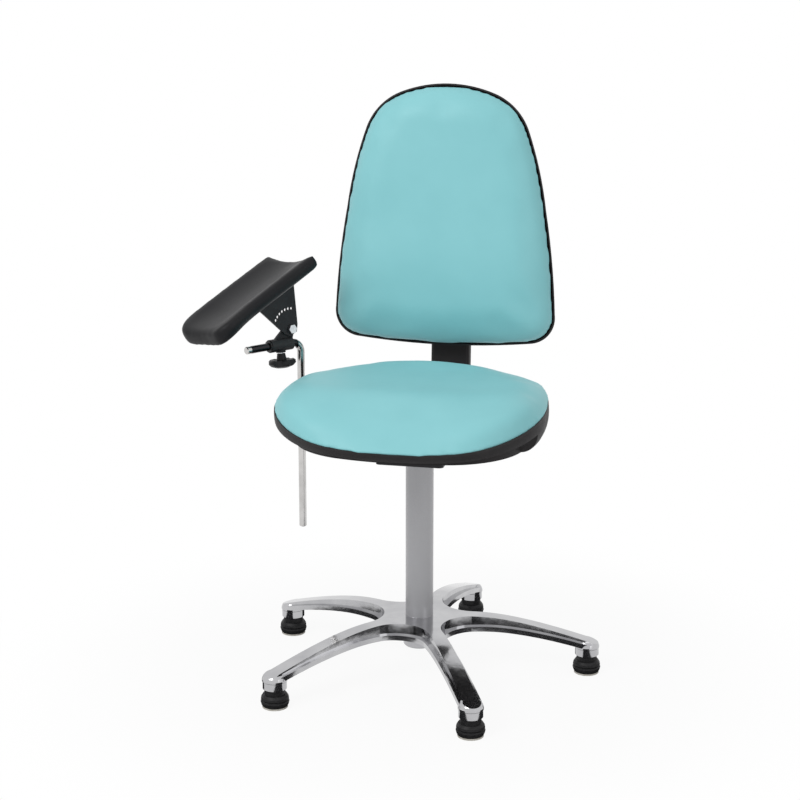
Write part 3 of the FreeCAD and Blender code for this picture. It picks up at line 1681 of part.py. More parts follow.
def pad_section(x, floor_rise, rim_rise, half_width, droop):
    """Trough across the pad: flat underside, round flanks, hollow top."""
    base_z = pad_above_bolt - droop
    foot = half_width * 0.80
    rim = half_width * 0.90
    low_left = Vector(x, -foot, base_z)
    low_right = Vector(x, foot, base_z)
    side_right = Vector(x, half_width, base_z + 0.55 * rim_rise)
    side_left = Vector(x, -half_width, base_z + 0.55 * rim_rise)
    rim_right = Vector(x, rim, base_z + rim_rise)
    rim_left = Vector(x, -rim, base_z + rim_rise)
    hollow = Vector(x, 0, base_z + floor_rise)
    edges = [
        line_through(low_left, low_right),
        arc_through((low_right, side_right, rim_right)),
        arc_through((rim_right, hollow, rim_left)),
        arc_through((rim_left, side_left, low_left)),
    ]
    return Part.Wire(edges)


pad_nose_share = (0.0, 0.30, 0.58, 0.80, 0.93, 1.0)
pad_width_share = (1.0, 0.99, 0.955, 0.86, 0.73, 0.57)
pad_floor_share = (1.0, 1.04, 1.22, 1.42, 1.50, 1.42)
pad_rim_share = (1.0, 1.0, 1.02, 1.03, 0.99, 0.88)
pad_droop_share = (0.0, 0.02, 0.08, 0.17, 0.24, 0.29)


def make_arm_pad():
    """Moulded foam trough that rounds down over its front end."""
    nose_x = pad_nose_start - pad_behind_bolt
    nose_length = pad_length - pad_nose_start
    trough = Part.Face(pad_section(-pad_behind_bolt, pad_floor, pad_rim, pad_width / 2, 0))
    trough = trough.extrude(Vector(pad_nose_start, 0, 0))
    wires = []
    table = zip(pad_nose_share, pad_width_share, pad_floor_share, pad_rim_share, pad_droop_share)
    for at, width, floor, rim, droop in table:
        x = nose_x + at * nose_length
        wires.append(
            pad_section(x, floor * pad_floor, rim * pad_rim, width * pad_width / 2, droop * pad_rim)
        )
    pad = trough.fuse(Part.makeLoft(wires, True, False))
    return in_pad_frame(pad.cut(pad_core_blank()))


def make_tilt_bolt():
    """Pivot bolt with a bright washer on the seat side and a nut outside."""
    y_axis = Vector(0, 1, 0)
    tip = Vector(tilt_bolt_along, 0, tilt_bolt_up)
    inner_y = ear_thickness / 2 + 4 * running_fit + bracket_thickness
    outer_y = -ear_thickness / 2 - 2 * running_fit
    washer = ring(tilt_washer_r, tilt_bolt_r + seat_fit, tilt_washer, tip + Vector(0, inner_y, 0), y_axis)
    head_at = tip + Vector(0, inner_y + tilt_washer + running_fit, 0)
    head = hexagon(tilt_bolt_head_r, tilt_bolt_head, head_at, y_axis)
    length = head_at.y - outer_y + tilt_bolt_head
    shank = cylinder(tilt_bolt_r, length, tip + Vector(0, outer_y - tilt_bolt_head, 0), y_axis)
    nut = hexagon(tilt_bolt_head_r, tilt_bolt_head, tip + Vector(0, outer_y - tilt_bolt_head, 0), y_axis)
    nut = nut.cut(
        cylinder(
            tilt_bolt_r + seat_fit,
            3 * tilt_bolt_head,
            tip + Vector(0, outer_y - 2 * tilt_bolt_head, 0),
            y_axis,
        )
    )
    return [in_clamp_frame(shape) for shape in (joined(shank, head), washer, nut)]


def hexagon(flat_r, height, base, axis):
    corner_r = flat_r / math.cos(math.pi / 6)
    points = []
    for index in range(6):
        angle = math.pi * index / 3
        points.append(Vector(corner_r * math.cos(angle), corner_r * math.sin(angle), 0))
    return stood(plate(points, height, Vector(0, 0, 1)), base, axis)


def export_arm_pad():
    make_pad_bracket().exportStep("parts/pad_bracket.step")
    make_pad_core().exportStep("parts/pad_core.step")
    make_pad_screws().exportStep("parts/pad_screws.step")
    make_arm_pad().exportStep("parts/arm_pad.step")
    pivot, washer, nut = make_tilt_bolt()
    pivot.exportStep("parts/tilt_bolt.step")
    washer.exportStep("parts/tilt_washer.step")
    nut.exportStep("parts/tilt_nut.step")


export_base()
export_column()
export_mechanism()
export_lever()
export_seat()
export_back_bar()
export_backrest()
export_arm_rod()
export_clamp()
export_arm_pad()
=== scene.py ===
"""Phlebotomy chair: finishes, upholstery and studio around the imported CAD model."""

import json
import math

import bpy
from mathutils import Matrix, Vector
from mathutils.bvhtree import BVHTree


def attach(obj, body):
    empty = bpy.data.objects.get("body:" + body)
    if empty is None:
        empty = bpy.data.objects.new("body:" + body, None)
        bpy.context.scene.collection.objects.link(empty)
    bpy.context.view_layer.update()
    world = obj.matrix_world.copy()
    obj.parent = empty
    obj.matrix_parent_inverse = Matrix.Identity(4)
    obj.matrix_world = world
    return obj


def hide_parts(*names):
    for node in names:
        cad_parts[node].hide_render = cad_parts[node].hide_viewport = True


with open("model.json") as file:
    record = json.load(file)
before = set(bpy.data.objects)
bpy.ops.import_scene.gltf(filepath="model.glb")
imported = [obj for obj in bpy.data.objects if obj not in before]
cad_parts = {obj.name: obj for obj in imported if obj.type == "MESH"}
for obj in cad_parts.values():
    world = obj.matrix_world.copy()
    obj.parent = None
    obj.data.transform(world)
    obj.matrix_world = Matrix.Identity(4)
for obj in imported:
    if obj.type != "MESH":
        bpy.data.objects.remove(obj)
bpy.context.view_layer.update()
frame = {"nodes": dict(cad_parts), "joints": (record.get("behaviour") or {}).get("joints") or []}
nodes = frame["nodes"]

MM = 0.001
DULL_BLACK_SPECULAR = 0.18


# Finishes: small helpers

def new_finish(name, colour, roughness, metallic=0.0):
    """A material with its shader set to one plain colour, and the tree to build detail in."""
    finish = bpy.data.materials.new(name)
    finish.use_nodes = True
    tree = finish.node_tree
    shader = tree.nodes["Principled BSDF"]
    shader.inputs["Base Color"].default_value = (*colour, 1.0)
    shader.inputs["Roughness"].default_value = roughness
    shader.inputs["Metallic"].default_value = metallic
    return finish, tree, shader


def placed(tree, stretch=(1.0, 1.0, 1.0)):
    """The piece's own coordinates, in metres, stretched for a grain."""
    where = tree.nodes.new("ShaderNodeTexCoord")
    mapping = tree.nodes.new("ShaderNodeMapping")
    mapping.inputs["Scale"].default_value = stretch
    tree.links.new(where.outputs["Object"], mapping.inputs["Vector"])
    return mapping.outputs["Vector"]


def cloudy(tree, place, size, detail=2.0, rough=0.5):
    """Soft clouds about that size across."""
    noise = tree.nodes.new("ShaderNodeTexNoise")
    noise.inputs["Scale"].default_value = 1.0 / size
    noise.inputs["Detail"].default_value = detail
    noise.inputs["Roughness"].default_value = rough
    tree.links.new(place, noise.inputs["Vector"])
    return noise.outputs["Fac"]


def pebbled(tree, place, size, smooth=0.6):
    """Closed pebbles about that size across, as in embossed grain."""
    cells = tree.nodes.new("ShaderNodeTexVoronoi")
    cells.feature = "SMOOTH_F1"
    cells.inputs["Scale"].default_value = 1.0 / size
    cells.inputs["Smoothness"].default_value = smooth
    tree.links.new(place, cells.inputs["Vector"])
    return cells.outputs["Distance"]


def spread(tree, value, low, high):
    """A texture's 0 to 1 spread over low to high."""
    span = tree.nodes.new("ShaderNodeMapRange")
    span.inputs["To Min"].default_value = low
    span.inputs["To Max"].default_value = high
    tree.links.new(value, span.inputs["Value"])
    return span.outputs["Result"]


def banded(tree, value, *stops):
    """Colours along a texture's value, each stop a place and a colour."""
    ramp = tree.nodes.new("ShaderNodeValToRGB")
    bands = ramp.color_ramp.elements
    while len(bands) < len(stops):
        bands.new(0.5)
    for band, (where, colour) in zip(bands, stops):
        band.position = where
        band.color = (*colour, 1.0)
    tree.links.new(value, ramp.inputs["Fac"])
    return ramp.outputs["Color"]


def added(tree, one, other, share):
    """One height and a share of another."""
    total = tree.nodes.new("ShaderNodeMath")
    total.operation = "MULTIPLY_ADD"
    total.inputs[1].default_value = share
    tree.links.new(other, total.inputs[0])
    tree.links.new(one, total.inputs[2])
    return total.outputs["Value"]


def raised(tree, shader, height, depth, strength):
    """Bump of that depth in metres."""
    bump = tree.nodes.new("ShaderNodeBump")
    bump.inputs["Distance"].default_value = depth
    bump.inputs["Strength"].default_value = strength
    tree.links.new(height, bump.inputs["Height"])
    tree.links.new(bump.outputs["Normal"], shader.inputs["Normal"])


def facing(tree, low, high):
    """0 to 1 as the surface turns from looking down to looking up, between two heights of its normal."""
    geometry = tree.nodes.new("ShaderNodeNewGeometry")
    split = tree.nodes.new("ShaderNodeSeparateXYZ")
    span = tree.nodes.new("ShaderNodeMapRange")
    span.inputs["From Min"].default_value = low
    span.inputs["From Max"].default_value = high
    tree.links.new(geometry.outputs["Normal"], split.inputs["Vector"])
    tree.links.new(split.outputs["Z"], span.inputs["Value"])
    return span.outputs["Result"]


def worn_edge(tree, low=0.52, high=0.60):
    """0 on flats, rising to 1 on sharp outer edges."""
    geometry = tree.nodes.new("ShaderNodeNewGeometry")
    span = tree.nodes.new("ShaderNodeMapRange")
    span.inputs["From Min"].default_value = low
    span.inputs["From Max"].default_value = high
    tree.links.new(geometry.outputs["Pointiness"], span.inputs["Value"])
    return span.outputs["Result"]


def mixed(tree, share, first, second):
    """Two colours mixed by a texture's share."""
    mix = tree.nodes.new("ShaderNodeMix")
    mix.data_type = "RGBA"
    for socket, colour in ((mix.inputs[6], first), (mix.inputs[7], second)):
        if isinstance(colour, tuple):
            socket.default_value = (*colour, 1.0)
        else:
            tree.links.new(colour, socket)
    tree.links.new(share, mix.inputs[0])
    return mix.outputs[2]


# Finishes of the chair

def aqua_vinyl():
    """Smooth contract vinyl: a fine embossed grain, barely glossy, with a little shading in the dye."""
    finish, tree, shader = new_finish("aqua_vinyl", (0.266, 0.628, 0.666), 0.5)
    place = placed(tree)
    dye = cloudy(tree, place, 90 * MM, 3.0)
    colour = banded(tree, dye, (0.3, (0.256, 0.612, 0.650)), (0.7, (0.276, 0.642, 0.680)))
    tree.links.new(colour, shader.inputs["Base Color"])
    grain = added(tree, pebbled(tree, place, 1.3 * MM), cloudy(tree, place, 0.5 * MM, 2.0), 0.35)
    tree.links.new(spread(tree, cloudy(tree, place, 14 * MM, 4.0), 0.42, 0.56), shader.inputs["Roughness"])
    raised(tree, shader, grain, 0.05 * MM, 0.7)
    shader.inputs["Specular IOR Level"].default_value = 0.35
    shader.inputs["Sheen Weight"].default_value = 0.06
    shader.inputs["Sheen Roughness"].default_value = 0.4
    return finish


def charcoal_moulding():
    """Injection-moulded shell plastic with a spark-eroded texture."""
    finish, tree, shader = new_finish("charcoal_moulding", (0.020, 0.019, 0.020), 0.55)
    place = placed(tree)
    shade = cloudy(tree, place, 60 * MM, 3.0)
    colour = banded(tree, shade, (0.3, (0.017, 0.016, 0.017)), (0.7, (0.024, 0.022, 0.023)))
    tree.links.new(mixed(tree, worn_edge(tree), colour, (0.036, 0.034, 0.035)), shader.inputs["Base Color"])
    tree.links.new(spread(tree, cloudy(tree, place, 9 * MM, 4.0), 0.48, 0.62), shader.inputs["Roughness"])
    raised(tree, shader, cloudy(tree, place, 0.55 * MM, 3.0, 0.6), 0.10 * MM, 0.8)
    shader.inputs["Specular IOR Level"].default_value = DULL_BLACK_SPECULAR
    return finish


def skinned_foam():
    """Black moulded foam with its own skin: soft gloss, faint pores, dulled where arms have rubbed."""
    finish, tree, shader = new_finish("skinned_foam", (0.009, 0.009, 0.010), 0.42)
    place = placed(tree)
    rubbed = cloudy(tree, place, 70 * MM, 3.0)
    colour = banded(tree, rubbed, (0.3, (0.006, 0.006, 0.008)), (0.75, (0.011, 0.011, 0.012)))
    tree.links.new(colour, shader.inputs["Base Color"])
    tree.links.new(spread(tree, rubbed, 0.36, 0.52), shader.inputs["Roughness"])
    pores = added(tree, pebbled(tree, place, 1.6 * MM, 0.8), cloudy(tree, place, 0.6 * MM, 2.0), 0.5)
    raised(tree, shader, pores, 0.05 * MM, 0.7)
    shader.inputs["Sheen Weight"].default_value = 0.09
    shader.inputs["Sheen Roughness"].default_value = 0.35
    shader.inputs["Specular IOR Level"].default_value = DULL_BLACK_SPECULAR
    return finish


def polished_aluminium():
    """Cast aluminium buffed to a mirror, left as cast underneath."""
    finish, tree, shader = new_finish("polished_aluminium", (0.47, 0.47, 0.485), 0.12, 1.0)
    place = placed(tree)
    up = facing(tree, -0.75, -0.45)
    cast = cloudy(tree, place, 1.2 * MM, 4.0, 0.65)
    colour = mixed(tree, up, (0.36, 0.36, 0.37), banded(
        tree, cloudy(tree, place, 45 * MM, 3.0), (0.3, (0.43, 0.43, 0.445)), (0.7, (0.52, 0.52, 0.53))))
    tree.links.new(colour, shader.inputs["Base Color"])
    buffed = spread(tree, cloudy(tree, place, 12 * MM, 5.0, 0.6), 0.07, 0.16)
    rough = tree.nodes.new("ShaderNodeMix")
    rough.inputs[2].default_value = 0.45
    tree.links.new(up, rough.inputs[0])
    tree.links.new(buffed, rough.inputs[3])
    tree.links.new(rough.outputs[0], shader.inputs["Roughness"])
    raised(tree, shader, added(tree, cloudy(tree, place, 26 * MM, 2.0), cast, 0.012), 0.45 * MM, 0.5)
    return finish


def silver_column_paint():
    """Silver stove enamel with a fine metallic flake."""
    finish, tree, shader = new_finish("silver_column_paint", (0.38, 0.38, 0.395), 0.36, 0.45)
    place = placed(tree)
    flake = cloudy(tree, place, 0.35 * MM, 1.0)
    colour = banded(tree, flake, (0.35, (0.33, 0.33, 0.345)), (0.68, (0.44, 0.44, 0.455)))
    tree.links.new(colour, shader.inputs["Base Color"])
    tree.links.new(spread(tree, cloudy(tree, place, 18 * MM, 4.0), 0.30, 0.42), shader.inputs["Roughness"])
    raised(tree, shader, cloudy(tree, place, 2.2 * MM, 2.0), 0.03 * MM, 0.5)
    shader.inputs["Coat Weight"].default_value = 0.35
    shader.inputs["Coat Roughness"].default_value = 0.18
    return finish


def chrome_shades(tree, place):
    """The slow change of shade along a chromed rod."""
    clouds = cloudy(tree, place, 20 * MM, 3.0)
    return banded(tree, clouds, (0.3, (0.50, 0.49, 0.48)), (0.7, (0.62, 0.61, 0.60)))


def bright_drawn_steel():
    """Chromed drawn rod: mirror with faint draw lines."""
    finish, tree, shader = new_finish("bright_drawn_steel", (0.74, 0.73, 0.72), 0.12, 1.0)
    place = placed(tree, (1.0, 1.0, 0.03))
    lines = cloudy(tree, place, 0.5 * MM, 3.0)
    tree.links.new(spread(tree, lines, 0.08, 0.2), shader.inputs["Roughness"])
    tree.links.new(chrome_shades(tree, placed(tree)), shader.inputs["Base Color"])
    raised(tree, shader, lines, 0.01 * MM, 0.5)
    return finish


def rod_with_painted_dark_reflection():
    """Bright drawn rod whose level part, but for its tip, is painted near black: a painted dark reflection
    of the black pad above and the dim room, not a finish of the rod.
    """
    finish, tree, shader = new_finish("rod_with_painted_dark_reflection", (0.74, 0.73, 0.72), 0.14, 1.0)
    place = placed(tree)
    level_heading = math.radians(37.0)
    ahead = Vector((-math.sin(level_heading), -math.cos(level_heading), 0.0))
    bend = Vector((-0.2536, 0.1327, 0.574))
    # Where the painted dark reflection starts and ends along the level run.
    painted_dark_from, painted_dark_to = bend.dot(ahead) + 10 * MM, bend.dot(ahead) + 116 * MM
    run = tree.nodes.new("ShaderNodeVectorMath")
    run.operation = "DOT_PRODUCT"
    run.inputs[1].default_value = ahead
    tree.links.new(place, run.inputs[0])
    after = tree.nodes.new("ShaderNodeMath")
    after.operation = "GREATER_THAN"
    after.inputs[1].default_value = painted_dark_from
    before = tree.nodes.new("ShaderNodeMath")
    before.operation = "LESS_THAN"
    before.inputs[1].default_value = painted_dark_to
    level = tree.nodes.new("ShaderNodeMath")
    level.operation = "MULTIPLY"
    for test, slot_index in ((after, 0), (before, 1)):
        tree.links.new(run.outputs["Value"], test.inputs[0])
        tree.links.new(test.outputs["Value"], level.inputs[slot_index])
    # Painted dark reflection: the level run between the two marks is coloured near black instead of
    # mirroring its surroundings.
    painted_dark_reflection = mixed(tree, level.outputs["Value"], chrome_shades(tree, place), (0.035, 0.033, 0.036))
    tree.links.new(painted_dark_reflection, shader.inputs["Base Color"])
    lines = cloudy(tree, placed(tree, (1.0, 1.0, 0.03)), 0.5 * MM, 3.0)
    tree.links.new(spread(tree, lines, 0.10, 0.22), shader.inputs["Roughness"])
    raised(tree, shader, lines, 0.01 * MM, 0.5)
    return finish


def black_gas_tube():
    """Black-oxided steel tube, lightly oiled."""
    finish, tree, shader = new_finish("black_gas_tube", (0.016, 0.016, 0.017), 0.3, 0.3)
    place = placed(tree, (1.0, 1.0, 0.05))
    tree.links.new(spread(tree, cloudy(tree, place, 0.8 * MM, 3.0), 0.22, 0.36), shader.inputs["Roughness"])
    raised(tree, shader, cloudy(tree, place, 0.6 * MM), 0.01 * MM, 0.5)
    return finish


def black_powder_coat():
    """Black epoxy powder with orange peel, grey where an edge has rubbed."""
    finish, tree, shader = new_finish("black_powder_coat", (0.012, 0.012, 0.014), 0.4)
    place = placed(tree)
    clouds = cloudy(tree, place, 22 * MM, 3.0)
    shade = banded(tree, clouds, (0.3, (0.009, 0.009, 0.011)), (0.7, (0.016, 0.016, 0.018)))
    rubbed = mixed(tree, worn_edge(tree, 0.56, 0.68), shade, (0.045, 0.045, 0.048))
    tree.links.new(rubbed, shader.inputs["Base Color"])
    tree.links.new(spread(tree, cloudy(tree, place, 6 * MM, 4.0), 0.30, 0.46), shader.inputs["Roughness"])
    raised(tree, shader, cloudy(tree, place, 1.1 * MM, 2.0), 0.06 * MM, 0.7)
    shader.inputs["Specular IOR Level"].default_value = DULL_BLACK_SPECULAR
    return finish


def black_cast_paint():
    """Painted die casting: the skin of the casting shows through."""
    finish, tree, shader = new_finish("black_cast_paint", (0.014, 0.014, 0.015), 0.45)
    place = placed(tree)
    rubbed = mixed(tree, worn_edge(tree, 0.56, 0.68), (0.013, 0.013, 0.015), (0.05, 0.05, 0.052))
    tree.links.new(rubbed, shader.inputs["Base Color"])
    tree.links.new(spread(tree, cloudy(tree, place, 5 * MM, 4.0), 0.35, 0.52), shader.inputs["Roughness"])
    skin = added(tree, cloudy(tree, place, 2.6 * MM, 3.0), cloudy(tree, place, 0.7 * MM), 0.3)
    raised(tree, shader, skin, 0.12 * MM, 0.7)
    shader.inputs["Specular IOR Level"].default_value = DULL_BLACK_SPECULAR
    return finish


def zinc_plate():
    """Bright zinc plate, a shade blue, with a little bloom."""
    finish, tree, shader = new_finish("zinc_plate", (0.66, 0.68, 0.70), 0.28, 1.0)
    place = placed(tree)
    bloom = cloudy(tree, place, 7 * MM, 4.0)
    colour = banded(tree, bloom, (0.3, (0.60, 0.63, 0.66)), (0.7, (0.74, 0.75, 0.76)))
    tree.links.new(colour, shader.inputs["Base Color"])
    tree.links.new(spread(tree, bloom, 0.2, 0.36), shader.inputs["Roughness"])
    raised(tree, shader, cloudy(tree, place, 0.5 * MM), 0.02 * MM, 0.5)
    return finish


def knob_nylon():
    """Glass-filled black nylon, satin from the mould."""
    finish, tree, shader = new_finish("knob_nylon", (0.014, 0.014, 0.015), 0.38)
    place = placed(tree)
    rubbed = mixed(tree, worn_edge(tree, 0.55, 0.66), (0.013, 0.013, 0.014), (0.035, 0.035, 0.037))
    tree.links.new(rubbed, shader.inputs["Base Color"])
    tree.links.new(spread(tree, cloudy(tree, place, 4 * MM, 4.0), 0.30, 0.45), shader.inputs["Roughness"])
    raised(tree, shader, cloudy(tree, place, 0.45 * MM, 2.0), 0.04 * MM, 0.7)
    shader.inputs["Specular IOR Level"].default_value = DULL_BLACK_SPECULAR
    return finish


def glide_plastic():
    """Black moulded glide, scuffed towards the floor."""
    finish, tree, shader = new_finish("glide_plastic", (0.016, 0.016, 0.017), 0.42)
    place = placed(tree)
    scuff = cloudy(tree, placed(tree, (1.0, 1.0, 2.5)), 6 * MM, 5.0, 0.65)
    colour = banded(tree, scuff, (0.45, (0.014, 0.014, 0.015)), (0.75, (0.030, 0.030, 0.031)))
    tree.links.new(colour, shader.inputs["Base Color"])
    tree.links.new(spread(tree, scuff, 0.36, 0.55), shader.inputs["Roughness"])
    raised(tree, shader, cloudy(tree, place, 0.5 * MM, 2.0), 0.04 * MM, 0.7)
    shader.inputs["Specular IOR Level"].default_value = DULL_BLACK_SPECULAR
    return finish


def sole_plastic():
    """Pale wearing sole under each glide."""
    finish, tree, shader = new_finish("sole_plastic", (0.60, 0.58, 0.53), 0.6)
    place = placed(tree)
    worn = cloudy(tree, place, 8 * MM, 5.0, 0.6)
    colour = banded(tree, worn, (0.35, (0.45, 0.43, 0.38)), (0.65, (0.64, 0.62, 0.57)))
    tree.links.new(colour, shader.inputs["Base Color"])
    raised(tree, shader, cloudy(tree, place, 0.6 * MM), 0.05 * MM, 0.6)
    return finish


def bush_acetal():
    """Black acetal bush."""
    finish, tree, shader = new_finish("bush_acetal", (0.020, 0.020, 0.021), 0.33)
    place = placed(tree)
    tree.links.new(spread(tree, cloudy(tree, place, 5 * MM, 3.0), 0.27, 0.4), shader.inputs["Roughness"])
    raised(tree, shader, cloudy(tree, place, 0.5 * MM), 0.02 * MM, 0.6)
    return finish


def beech_ply():
    """Beech plywood: rotary-cut faces, plies on edge."""
    finish, tree, shader = new_finish("beech_ply", (0.55, 0.38, 0.22), 0.6)
    grain = cloudy(tree, placed(tree, (1.0, 0.06, 1.0)), 2.5 * MM, 5.0, 0.6)
    plies = tree.nodes.new("ShaderNodeTexWave")
    plies.bands_direction = "Z"
    plies.inputs["Scale"].default_value = 190.0
    tree.links.new(placed(tree), plies.inputs["Vector"])
    face = banded(tree, grain, (0.3, (0.44, 0.29, 0.16)), (0.7, (0.62, 0.45, 0.27)))
    edge = banded(tree, plies.outputs["Fac"], (0.35, (0.34, 0.21, 0.11)), (0.65, (0.60, 0.43, 0.25)))
    flat = facing(tree, 0.3, 0.7)
    tree.links.new(mixed(tree, flat, edge, face), shader.inputs["Base Color"])
    raised(tree, shader, grain, 0.05 * MM, 0.6)
    return finish


finish_of_slot = {
    "aqua_upholstery": aqua_vinyl(),
    "shell_plastic": charcoal_moulding(),
    "black_foam": skinned_foam(),
    "polished_aluminium": polished_aluminium(),
    "column_paint": silver_column_paint(),
    "bright_steel": bright_drawn_steel(),
    "black_tube": black_gas_tube(),
    "black_paint": black_powder_coat(),
    "black_casting": black_cast_paint(),
    "zinc_steel": zinc_plate(),
    "knob_plastic": knob_nylon(),
    "glide_plastic": glide_plastic(),
    "sole_plastic": sole_plastic(),
    "bush_plastic": bush_acetal(),
    "plywood": beech_ply(),
}

for node in nodes.values():
    for place in node.material_slots:
        place.material = finish_of_slot[place.material.name.split(".")[0]]
nodes["tilt_washer"].material_slots[0].material = finish_of_slot["black_paint"]
# The arm rod's level run carries a painted dark reflection.
nodes["arm_rod"].material_slots[0].material = rod_with_painted_dark_reflection()


# Upholstery and foam

COVER_STEPS = 20
COVER_STRETCH_STIFFNESS = 18.0
COVER_BENDING_STIFFNESS = 6.0


def deselected():
    """Leaves edit mode with nothing selected."""
    if bpy.context.object and bpy.context.object.mode != "OBJECT":
        bpy.ops.object.mode_set(mode="OBJECT")
    bpy.ops.object.select_all(action="DESELECT")


def picked(piece):
    """Makes a piece the only one selected, and active."""
    deselected()
    piece.select_set(True)
    bpy.context.view_layer.objects.active = piece


def merged_copy(node_name, name):
    """A closed copy of a CAD node's shape, as a piece of its own."""
    piece = bpy.data.objects.new(name, nodes[node_name].data.copy())
    bpy.context.scene.collection.objects.link(piece)
    picked(piece)
    bpy.ops.object.mode_set(mode="EDIT")
    bpy.ops.mesh.select_all(action="SELECT")
    bpy.ops.mesh.remove_doubles(threshold=0.02 * MM)
    bpy.ops.mesh.normals_make_consistent(inside=False)
    bpy.ops.object.mode_set(mode="OBJECT")
    return piece


def applied(piece, kind, **settings):
    """Adds a modifier with its settings and applies it."""
    picked(piece)
    modifier = piece.modifiers.new(kind.lower(), kind)
    for key, value in settings.items():
        setattr(modifier, key, value)
    bpy.ops.object.modifier_apply(modifier=modifier.name)


def smooth_shaded(piece):
    """Shades a soft piece smooth all over."""
    picked(piece)
    bpy.ops.object.shade_smooth()


def eased(piece, passes):
    """Relaxes a soft piece but for the part of it that is held."""
    applied(piece, "SMOOTH", factor=0.5, iterations=passes, vertex_group="held", invert_vertex_group=True)


def finished(piece, slot_name, body, replaced):
    """Gives a piece its slot and finish, the body it rides on and the node it stands for."""
    piece.data.materials.clear()
    piece.data.materials.append(finish_of_slot[slot_name])
    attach(piece, body)
    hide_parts(replaced)
    return piece


def near(node_names, reach):
    """A test for places within reach of any of these nodes."""
    trees = []
    for node_name in node_names:
        mesh = nodes[node_name].data
        corners = [vertex.co.copy() for vertex in mesh.vertices]
        faces = [tuple(face.vertices) for face in mesh.polygons]
        trees.append(BVHTree.FromPolygons(corners, faces))

    def close(place):
        return any(tree.find_nearest(place, reach)[0] is not None for tree in trees)

    return close


def stuffed(piece, drawn_in, voxel, ease, pressure, most_swell, held_by, held_reach):
    """Foam under a cover: drawn in, relaxed, blown up under tension, held where it meets its tray."""
    applied(piece, "DISPLACE", strength=-drawn_in, mid_level=0.0)
    applied(piece, "REMESH", mode="VOXEL", voxel_size=voxel, adaptivity=0.0)
    close = near(held_by, held_reach)
    held = piece.vertex_groups.new(name="held")
    held.add([vertex.index for vertex in piece.data.vertices if close(vertex.co)], 1.0, "REPLACE")
    applied(piece, "SMOOTH", factor=0.5, iterations=2)
    eased(piece, ease // 2)
    before = [vertex.co.copy() for vertex in piece.data.vertices]
    picked(piece)
    cover = piece.modifiers.new("cover", "CLOTH")
    cover.settings.vertex_group_mass = "held"
    cover.settings.quality = 4
    cover.settings.mass = 0.3
    cover.settings.tension_stiffness = COVER_STRETCH_STIFFNESS
    cover.settings.compression_stiffness = COVER_STRETCH_STIFFNESS
    cover.settings.bending_stiffness = COVER_BENDING_STIFFNESS
    cover.settings.use_pressure = True
    cover.settings.uniform_pressure_force = pressure
    cover.settings.effector_weights.gravity = 0.0
    cover.collision_settings.use_collision = False
    for step in range(1, COVER_STEPS + 1):
        bpy.context.scene.frame_set(step)
    bpy.ops.object.modifier_apply(modifier="cover")
    bpy.context.scene.frame_set(1)
    for vertex, start in zip(piece.data.vertices, before):
        moved = vertex.co - start
        if moved.length > most_swell:
            vertex.co = start + moved * (most_swell / moved.length)
    eased(piece, ease // 2)
    applied(piece, "SUBSURF", levels=1, render_levels=1)
    smooth_shaded(piece)


def add_seat_upholstery():
    """The seat's cover over foam: waterfall front, dished middle, hump at the rear."""
    cover = merged_copy("seat_cushion", "seat_upholstery")
    stuffed(cover, drawn_in=0.4 * MM, voxel=4.6 * MM, ease=144, pressure=4.0, most_swell=7.0 * MM,
            held_by=("seat_pan", "seat_board"), held_reach=4.0 * MM)
    finished(cover, "aqua_upholstery", "seat_frame", "seat_cushion")


def add_back_upholstery():
    """The backrest's cover over foam, crowned both ways."""
    cover = merged_copy("back_cushion", "back_upholstery")
    stuffed(cover, drawn_in=0.4 * MM, voxel=4.6 * MM, ease=114, pressure=4.0, most_swell=6.0 * MM,
            held_by=("back_shell", "back_board"), held_reach=4.0 * MM)
    finished(cover, "aqua_upholstery", "backrest", "back_cushion")


def pad_directions():
    """The tilt bolt's place, and the forearm pad's own ahead, across and up."""
    joints = {joint["name"]: joint for joint in frame["joints"]}
    bolt = Vector(joints["pad_tilt"]["pos_m"])
    across = Vector(joints["pad_tilt"]["axis"]).normalized()
    knob_axis = Vector(joints["clamp_knob_turn"]["axis"]).normalized()
    up = knob_axis if knob_axis.z > 0 else -knob_axis
    ahead = up.cross(across)
    if ahead.y > 0:
        ahead = -ahead
    pitch = math.radians(25.0)
    cosine, sine = math.cos(pitch), math.sin(pitch)
    ahead, up = ahead * cosine - up * sine, up * cosine + ahead * sine
    return bolt, ahead, across, up


def add_forearm_foam():
    """The moulded trough for the forearm: rims rounded over, nose thick, far end drawn out."""
    foam = merged_copy("arm_pad", "forearm_foam")
    bolt, ahead, across, up = pad_directions()
    nose_start, nose_length, underside, rim = 88 * MM, 83 * MM, 88 * MM, 30 * MM
    nose_outward, nose_ahead, nose_lower = 7 * MM, 3 * MM, 4 * MM
    tail_start, tail_length, tail_reach = -34 * MM, 32 * MM, 9 * MM
    for vertex in foam.data.vertices:
        place = vertex.co - bolt
        share = min(max((place.dot(ahead) - nose_start) / nose_length, 0.0), 1.0)
        share = share * share * (3.0 - 2.0 * share)
        side = place.dot(across)
        outward = math.copysign(min(abs(side) / rim, 1.0), side)
        lower = 1.0 if place.dot(up) < underside else 0.0
        tail = min(max((tail_start - place.dot(ahead)) / tail_length, 0.0), 1.0)
        vertex.co += share * (across * outward * nose_outward + ahead * nose_ahead - up * lower * nose_lower)
        vertex.co -= ahead * tail * tail_reach
    stuffed(foam, drawn_in=0.3 * MM, voxel=2.6 * MM, ease=56, pressure=2.0, most_swell=2.0 * MM,
            held_by=("pad_core", "pad_bracket"), held_reach=3.0 * MM)
    finished(foam, "black_foam", "arm_pad", "arm_pad")


add_seat_upholstery()
add_back_upholstery()
add_forearm_foam()


# Studio

